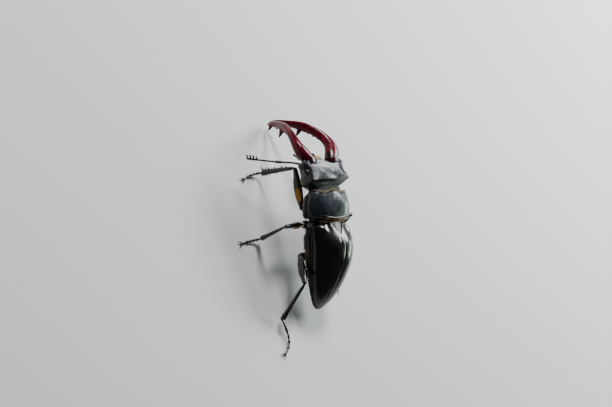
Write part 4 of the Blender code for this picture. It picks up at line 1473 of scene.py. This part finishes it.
@dataclass
class Antennae:
    """The elbowed feelers; points are in the head's frame."""

    stance: Stance
    finishes: Finishes
    base: dict[Side, Place] = field(default_factory=lambda: {
        Side.LEFT: (8.9, -10.9, -2.4), Side.RIGHT: (-8.9, -10.9, -2.4)})
    elbow: dict[Side, Place] = field(default_factory=lambda: {
        Side.LEFT: (14.2, -12.8, -7.2), Side.RIGHT: (-14.6, -9.2, -6.2)})
    tip: dict[Side, Place] = field(default_factory=lambda: {
        Side.LEFT: (23.4, -15.3, -10.8), Side.RIGHT: (-17.4, -9.8, -14.4)})
    comb: dict[Side, Place] = field(default_factory=lambda: {
        Side.LEFT: (0.3, -0.9, 0.3), Side.RIGHT: (0.0, -1.0, 0.1)})
    club_at: float = 0.58
    leaf_lengths: tuple[float, ...] = (1.1, 1.5, 1.6, 1.5)

    def build_one(self, side: Side) -> None:
        """Builds one feeler: the scape, the small joints and the club with its leaves."""
        base, elbow, tip = (Vector(part[side]) for part in (self.base, self.elbow, self.tip))
        comb = Vector(self.comb[side]).normalized()
        scape, feeler = elbow - base, tip - elbow
        name, node = "feeler_" + side.word, "antenna_" + side.word
        socket = base + Vector((-side.value * 0.9, 1.0, 0.5))

        solid = Shape(self.stance.head)
        bow = feeler.cross(scape).cross(scape).normalized() * 0.5
        path = [socket, base + bow * 0.3, base + scape * 0.5 + bow, elbow - scape * 0.02]
        sizes = ((0.0, 0.42), (0.12, 0.36), (0.3, 0.30), (0.75, 0.34), (0.93, 0.48), (1.0, 0.34))
        solid.tube(path, sizes, feeler, 20, rows=60)
        solid.ball(elbow, feeler, 0.36, 0.36, 20)
        solid.shown(name + "_scape", self.finishes.feeler, "feeler_shell", node + "_scape")

        solid = Shape(self.stance.head)
        joints = 6
        line = [elbow, elbow + feeler * 0.5, tip]
        for joint in range(joints):
            start = mix(0.02, self.club_at, joint / joints)
            end = mix(0.02, self.club_at, (joint + 1) / joints)
            sizes = ((start, 0.18), (mix(start, end, 0.2), 0.24), (mix(start, end, 0.75), 0.36), (end, 0.22))
            solid.tube(line, sizes, scape, 16, (start, end + 0.004), 16)
        solid.shown(name + "_joints", self.finishes.feeler, "feeler_shell", node + "_funicle")

        solid = Shape(self.stance.head)
        sizes = ((self.club_at, 0.2), (self.club_at + 0.05, 0.34), (0.95, 0.32), (1.0, 0.18))
        solid.tube(line, sizes, comb, 20, (self.club_at, 1.0))
        for k, length in enumerate(self.leaf_lengths):
            centre = elbow + feeler * mix(self.club_at, 1.0, 0.12 + 0.265 * k)
            rings = []
            for share in evenly(18):
                t = mix(-0.12, 1.0, share)
                half = mix(0.40, 0.54, ease((t + 0.1) / 0.7)) * arch((t - 0.55) / 0.46, 2.2)
                thick = 0.20 * arch(t, 6) + 0.03
                rings.append(oval(centre + comb * (length * t), comb, feeler + comb * 0.01, thick,
                                  max(half, 0.05), 24))
            solid.loft(rings)
        club = solid.shown(name + "_club", self.finishes.feeler, "feeler_shell", node + "_club")
        down = Coat(name + "_down", 24.0, lambda point, normal: 0.6, seed=13, length=0.10, thickness=0.07,
                    lay=0.3)
        down.over(club, self.stance.head, self.finishes.dusky, "feeler_shell")

    def build(self) -> None:
        """Builds both feelers."""
        for side in Side:
            self.build_one(side)


# ------------------------------------------------------------------------------------------- legs


@dataclass
class Leg:
    """One leg: the hip is in the trunk's frame, ankle, bend and toe in the ground's."""

    name: str
    hip: Place
    ankle: Place
    bend: Place
    toe: Place
    knee_points: Place
    femur: float
    tibia: float
    spines: tuple[tuple[float, float], ...]

    @property
    def side(self) -> int:
        """The sign of X on its side."""
        return 1 if self.name.endswith("left") else -1


FORE_SPINES = ((0.16, 0.5), (0.30, 0.9), (0.41, 0.6), (0.52, 1.1), (0.63, 0.8), (0.74, 1.4), (0.84, 1.0),
               (0.95, 2.0))
MID_SPINES = ((0.25, 0.5), (0.45, 1.1), (0.58, 0.5), (0.70, 1.2), (0.95, 1.3))
HIND_SPINES = ((0.35, 0.4), (0.55, 1.0), (0.75, 0.5), (0.95, 1.2))

LEGS = (
    Leg("fore_left", (6.3, -4.8, -5.7), (11.0, -20.5, 1.9), (14.5, -20.5, 0.4), (19.0, -18.5, 0.2),
        (-0.15, -0.3, 1.0), 13.0, 12.5, FORE_SPINES),
    Leg("fore_right", (-6.3, -4.8, -5.7), (-13.5, -15.5, 1.9), (-16.5, -17.0, 0.4), (-20.5, -19.5, 0.2),
        (-0.2, -0.7, 1.0), 12.0, 11.5, FORE_SPINES),
    Leg("mid_left", (5.6, 1.0, -6.0), (18.4, 2.1, 1.9), (22.0, 2.4, 0.4), (26.8, 3.2, 0.2),
        (1.0, 0.05, 1.0), 13.0, 11.0, MID_SPINES),
    Leg("mid_right", (-5.6, 1.0, -6.0), (-19.5, 1.0, 1.9), (-22.5, 2.0, 0.4), (-26.5, 4.0, 0.2),
        (-0.7, -0.45, 1.0), 13.0, 11.5, MID_SPINES),
    Leg("hind_left", (7.0, 11.5, -7.0), (17.1, 29.5, 2.1), (11.5, 38.0, 0.3), (17.6, 40.6, 0.2),
        (0.15, 0.1, 1.0), 12.5, 13.8, HIND_SPINES),
    Leg("hind_right", (-7.0, 11.5, -7.0), (-20.0, 12.0, 1.9), (-20.0, 16.5, 0.4), (-16.6, 20.8, 0.2),
        (-0.8, -0.9, 1.0), 12.0, 12.5, HIND_SPINES),
)

# how far along and the radii there: shares of the length for hip and foot, mm from the top for thigh and shin
COXA = ((0.0, 0.6), (0.08, 1.05), (0.45, 1.35), (0.8, 1.15), (0.95, 0.8), (1.0, 0.45))
FEMUR = ((-0.9, 0.40, 0.40), (-0.3, 0.75, 0.70), (0.4, 0.62, 0.60), (1.1, 0.95, 0.75), (3.2, 1.42, 0.96),
         (6.3, 1.58, 1.00), (9.4, 1.32, 0.90))
TIBIA = ((0.0, 0.42), (0.5, 0.50), (1.1, 0.52), (1.7, 0.66), (4.0, 0.68))
TARSAL_BELL = ((0.0, 0.20), (0.12, 0.27), (0.5, 0.33), (0.85, 0.49), (0.95, 0.50), (1.0, 0.36))


@dataclass
class Legs:
    """All six legs, each a chain from the roller at the hip to the claws."""

    stance: Stance
    finishes: Finishes
    tarsal_shares: tuple[float, ...] = (0.19, 0.16, 0.16, 0.17, 0.32)
    claw_length: float = 1.9
    spines_from: float = 1.35  # below the knee
    voxel: float = 0.11

    @staticmethod
    def _knee(leg: Leg, hip: Vector, ankle: Vector) -> Vector:
        """Where thigh and shin meet, on the side that the knee points to."""
        line = ankle - hip
        reach = line.length
        line.normalize()
        before = (leg.femur**2 - leg.tibia**2 + reach**2) / (2 * reach)
        height = math.sqrt(max(leg.femur**2 - before**2, 0.01))
        aim = Vector(leg.knee_points)
        out = (aim - line * aim.dot(line)).normalized()
        return hip + line * before + out * height

    def _frame(self, start: Vector, end: Vector, up: Vector) -> Matrix:
        """A frame at start whose +Z runs to end and whose +X lies as near to up as it can."""
        z_axis = (end - start).normalized()
        x_axis = (up - z_axis * up.dot(z_axis)).normalized()
        axes = Matrix((x_axis, z_axis.cross(x_axis), z_axis)).transposed().to_4x4()
        return self.stance.ground @ Matrix.Translation(start) @ axes

    def _coxa(self, leg: Leg) -> None:
        """Builds the roller at the hip, which holds the thigh."""
        x, y, z = leg.hip
        inner, outer = 0.6, abs(x) - 0.3
        rings = []
        for t in evenly(40):
            radius = read_off(COXA, t)
            centre = Vector((leg.side * mix(inner, outer, t), y, z - 1.0 + 0.25 * t))
            rings.append(oval(centre, ACROSS, ALONG, radius * 1.15, radius * 0.85, 32))
        Shape(self.stance.trunk, rings).shown("hip_" + leg.name, self.finishes.leg, "leg_shell",
                                              "coxa_" + leg.name)

    def _femur(self, leg: Leg, hip: Vector, knee: Vector) -> None:
        """Builds the thigh, flattened and fullest in its middle, with a patch of hair on its front."""
        place = self._frame(hip, knee, Vector(leg.knee_points))
        sizes = FEMUR + ((leg.femur - 1.0, 0.98, 0.78), (leg.femur - 0.3, 0.92, 0.74),
                         (leg.femur + 0.15, 0.55, 0.5))
        rings = []
        for t in evenly(72):
            z = mix(sizes[0][0], sizes[-1][0], t)
            wide, deep = read_off(sizes, z), read_off(sizes, z, 2)
            ring = oval(UP * z, UP, ACROSS, wide, deep, 40)
            for point in ring:
                flat = bump(point.x / wide, -0.9, 0.25) * ease((z - leg.femur + 4.5) / 2)
                point.x += 0.35 * flat
                point.y *= 1 - 0.10 * bump(point.x / wide, 0.0, 0.4) * ease((z - 1) / 2)
            rings.append(ring)
        thigh = Shape(place, rings).piece("thigh_" + leg.name, self.finishes.leg)
        self._soften(thigh)
        place_on_beetle(thigh, "leg_shell", "femur_" + leg.name)
        if leg.name.startswith("hind"):
            return
        reach = leg.femur * (0.30 if leg.name.startswith("fore") else 0.38)
        patch = Coat("thigh_patch_" + leg.name, 85.0,
                     lambda point, normal: ease(abs(normal.y) * 1.5 - 0.6 + 0.4 * normal.x)
                     * ease((1 - ((point.z - reach) / 2.4) ** 2 - ((point.x - 0.2) / 1.0) ** 2) * 3), seed=30,
                     length=0.42, thickness=0.08, lay=0.9, lie=UP)
        patch.over(thigh, place, self.finishes.amber, "leg_shell")

    @staticmethod
    def _soften(obj: Object) -> None:
        """Rounds off the joins between a loft's straight stretches."""
        smooth = obj.modifiers.new("soften", "SMOOTH")
        smooth.factor = 0.5
        smooth.iterations = 4
        settled(obj)

    def _tibia(self, leg: Leg, knee: Vector, ankle: Vector) -> None:
        """Builds the shin with its outer spines, its end spurs and the hair along its inner side."""
        place = self._frame(knee, ankle, Vector(leg.knee_points))
        end = leg.tibia - 0.30
        sizes = TIBIA + ((end * 0.75, 0.86), (end - 0.7, 1.10), (end - 0.2, 1.12), (end, 0.8))
        rings = []
        for share in evenly(64):
            z = mix(0.0, end, share)
            wide = read_off(sizes, z)
            ring = oval(UP * z, UP, ACROSS, wide, wide * 0.80, 32)
            for j, point in enumerate(ring):
                angle = 2 * math.pi * j / 32
                ridge = 1 + 0.05 * math.cos(5 * angle) * ease((z - 1.5) / 2)
                ring[j] = Vector((point.x * ridge, point.y * ridge, point.z))
            rings.append(ring)
        solid = Shape(place, rings)
        for t, length in leg.spines:
            base = Vector((0.55, 0, mix(self.spines_from, end - 0.1, t)))
            solid.spike(base, Vector((1, 0, 0.55)), length, 0.40, hook=Vector((0.1, 0, 0.12)), count=14)
        for spur in (-1, 1):
            base = Vector((-0.35, 0.35 * spur, end - 0.3))
            solid.spike(base, Vector((-0.35, 0.25 * spur, 1)), 1.2, 0.24)
        shin = fused(solid.piece("shin_" + leg.name, self.finishes.leg), self.voxel, 2)
        place_on_beetle(shin, "leg_shell", "tibia_" + leg.name)
        hair = Coat("shin_bristles_" + leg.name, 7.0,
                    lambda point, normal: ease(-normal.x * 2 - 0.3) * ease((point.z - 2.5) / 3), seed=31,
                    length=0.6, thickness=0.04, lay=0.6, lie=Vector((-0.4, 0, 1)))
        hair.over(shin, place, self.finishes.gold, "leg_shell")

    def _tarsus(self, leg: Leg) -> None:
        """Builds five bell-shaped joints that come down to the ground, two claws and the bristles between."""
        path = [Vector(leg.ankle), Vector(leg.bend), Vector(leg.toe)]
        solid = Shape(self.stance.ground)
        solid.ball(path[0] - heading(path, 0.0) * 0.15, heading(path, 0.0), 0.42, 0.5, 24)
        start = 0.0
        for joint in range(len(self.tarsal_shares)):
            end = 0.10 + 0.9 * sum(self.tarsal_shares[: joint + 1])
            slim = 0.82 if joint == len(self.tarsal_shares) - 1 else 1.0
            rings = []
            for t in evenly(22):
                radius = read_off(TARSAL_BELL, t) * slim
                at = mix(start, min(end, 1.0) - 0.004, t)
                along = heading(path, at)
                ring = oval(bezier(path, at), along, along.cross(UP), radius * 1.06, radius * 0.94, 20)
                rings.append([Vector((point.x, point.y, max(point.z, 0.0))) for point in ring])
            solid.loft(rings)
            start = end - 0.012
        along = (bezier(path, 1.0) - bezier(path, 0.9)) * Vector((1, 1, 0))
        along.normalize()
        side = Vector((-along.y, along.x, 0))
        tip = bezier(path, 0.985)
        first = len(solid.points)
        for sign in (1, -1):
            direction = along * 0.8 + side * (0.6 * sign)
            base = tip + Vector((0, 0, 0.42)) + side * (0.12 * sign)
            solid.spike(base, direction, self.claw_length * 0.97, 0.25, hook=Vector((0, 0, -0.30)), count=16)
        solid.spike(tip + Vector((0, 0, 0.15)), along, 0.8, 0.09, count=8)
        for point in solid.points[first:]:
            point.z = max(point.z, 0.0)
        foot = solid.shown("foot_" + leg.name, self.finishes.leg, "leg_shell", "tarsus_" + leg.name)
        bristles = Coat("foot_bristles_" + leg.name, 30.0,
                        lambda point, normal: ease(point.z * 4 - 0.9) * ease(0.6 - abs(normal.z)) * 0.7,
                        seed=32, length=0.26, thickness=0.06, lay=0.7, lie=along + UP * 0.1)
        bristles.over(foot, self.stance.ground, self.finishes.gold, "leg_shell")

    def build(self) -> None:
        """Builds the six legs."""
        to_ground = self.stance.ground.inverted() @ self.stance.trunk
        for leg in LEGS:
            hip = to_ground @ Vector(leg.hip)
            ankle = Vector(leg.ankle)
            knee = self._knee(leg, hip, ankle)
            self._coxa(leg)
            self._femur(leg, hip, knee)
            self._tibia(leg, knee, ankle)
            self._tarsus(leg)


# ----------------------------------------------------------------------------------------- studio


@dataclass
class Studio:
    """A pale floor, soft lights and the camera; sizes are in metres."""

    stance: Stance
    floor_half: float = 1.6
    floor_colour: tuple[float, ...] = (0.62, 0.62, 0.60, 1.0)
    sky_colour: tuple[float, ...] = (0.80, 0.88, 1.0, 1.0)
    sky_strength: float = 0.13
    distance: float = 0.4772
    lens: float = 85.0
    looks_at: Place = (0.0, 5.0, 0.0)  # mm, in the trunk's frame
    right: Place = (-0.6294, 0.2205, 0.7451)
    upwards: Place = (-0.0182, -0.9628, 0.2695)
    shift: tuple[float, float] = (-0.0364, 0.0518)

    def floor(self) -> None:
        """Builds the floor."""
        half = self.floor_half
        corners = [(-half, -half, 0), (half, -half, 0), (half, half, 0), (-half, half, 0)]
        mesh = bpy.data.meshes.new("floor")
        mesh.from_pydata(corners, [], [(0, 1, 2, 3)])
        obj = bpy.data.objects.new("floor", mesh)
        bpy.context.scene.collection.objects.link(obj)
        look = {"Base Color": self.floor_colour, "Roughness": 0.75}
        mesh.materials.append(Surface("studio_floor").wear(look))

    @staticmethod
    def lamp(name: str, place: Vector, size: tuple[float, float], power: float, colour: Colour) -> None:
        """Hangs a soft light that faces the beetle."""
        data = bpy.data.lights.new(name, "AREA")
        data.shape = "RECTANGLE"
        data.size, data.size_y = size
        data.energy = power
        data.color = colour
        obj = bpy.data.objects.new(name, data)
        bpy.context.scene.collection.objects.link(obj)
        obj.location = place
        obj.rotation_euler = (-place).to_track_quat("-Z", "Y").to_euler()

    def surroundings(self) -> None:
        """Sets the even light from all round."""
        world = bpy.data.worlds.new("studio")
        bpy.context.scene.world = world
        world.use_nodes = True
        sky = world.node_tree.nodes["Background"]
        sky.inputs["Color"].default_value = self.sky_colour
        sky.inputs["Strength"].default_value = self.sky_strength

    def camera(self) -> None:
        """Places the camera."""
        right, upwards = Vector(self.right).normalized(), Vector(self.upwards).normalized()
        back = right.cross(upwards)
        data = bpy.data.cameras.new("camera")
        data.lens = self.lens
        data.shift_x, data.shift_y = self.shift
        data.clip_start = 0.01
        obj = bpy.data.objects.new("camera", data)
        bpy.context.scene.collection.objects.link(obj)
        turn = Matrix((right, upwards, back)).transposed().to_4x4()
        target = (self.stance.trunk @ Vector(self.looks_at)) * MM
        obj.matrix_world = Matrix.Translation(target + back * self.distance) @ turn
        bpy.context.scene.camera = obj

    def build(self) -> None:
        """Builds the studio."""
        self.floor()
        self.surroundings()
        self.lamp("key", Vector((-0.43, -0.21, 0.30)), (0.30, 0.17), 4.8, (0.92, 0.96, 1.0))
        self.lamp("front", Vector((-0.02, -0.52, 0.48)), (0.20, 0.16), 5.8, (1.0, 0.99, 0.97))
        self.lamp("far_side", Vector((-0.58, 0.05, 0.12)), (0.26, 0.10), 1.0, (0.80, 1.0, 0.82))
        self.camera()


# ------------------------------------------------------------------------------------------- main


def main() -> None:
    """Builds the beetle and the studio round it."""
    logging.basicConfig(level=logging.INFO, format="%(message)s")
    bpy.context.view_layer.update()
    stance = Stance(Elytra(), Scutellum())
    finishes = Finishes()
    pronotum = Pronotum(stance, finishes)
    belly = Belly(stance, finishes, pronotum)
    for part in (WingCases(stance, finishes), pronotum, belly, Head(stance, finishes), Jaws(stance, finishes),
                 Mouth(stance, finishes, belly), Antennae(stance, finishes), Legs(stance, finishes)):
        part.build()
    Studio(stance).build()


if __name__ == "__main__":
    main()
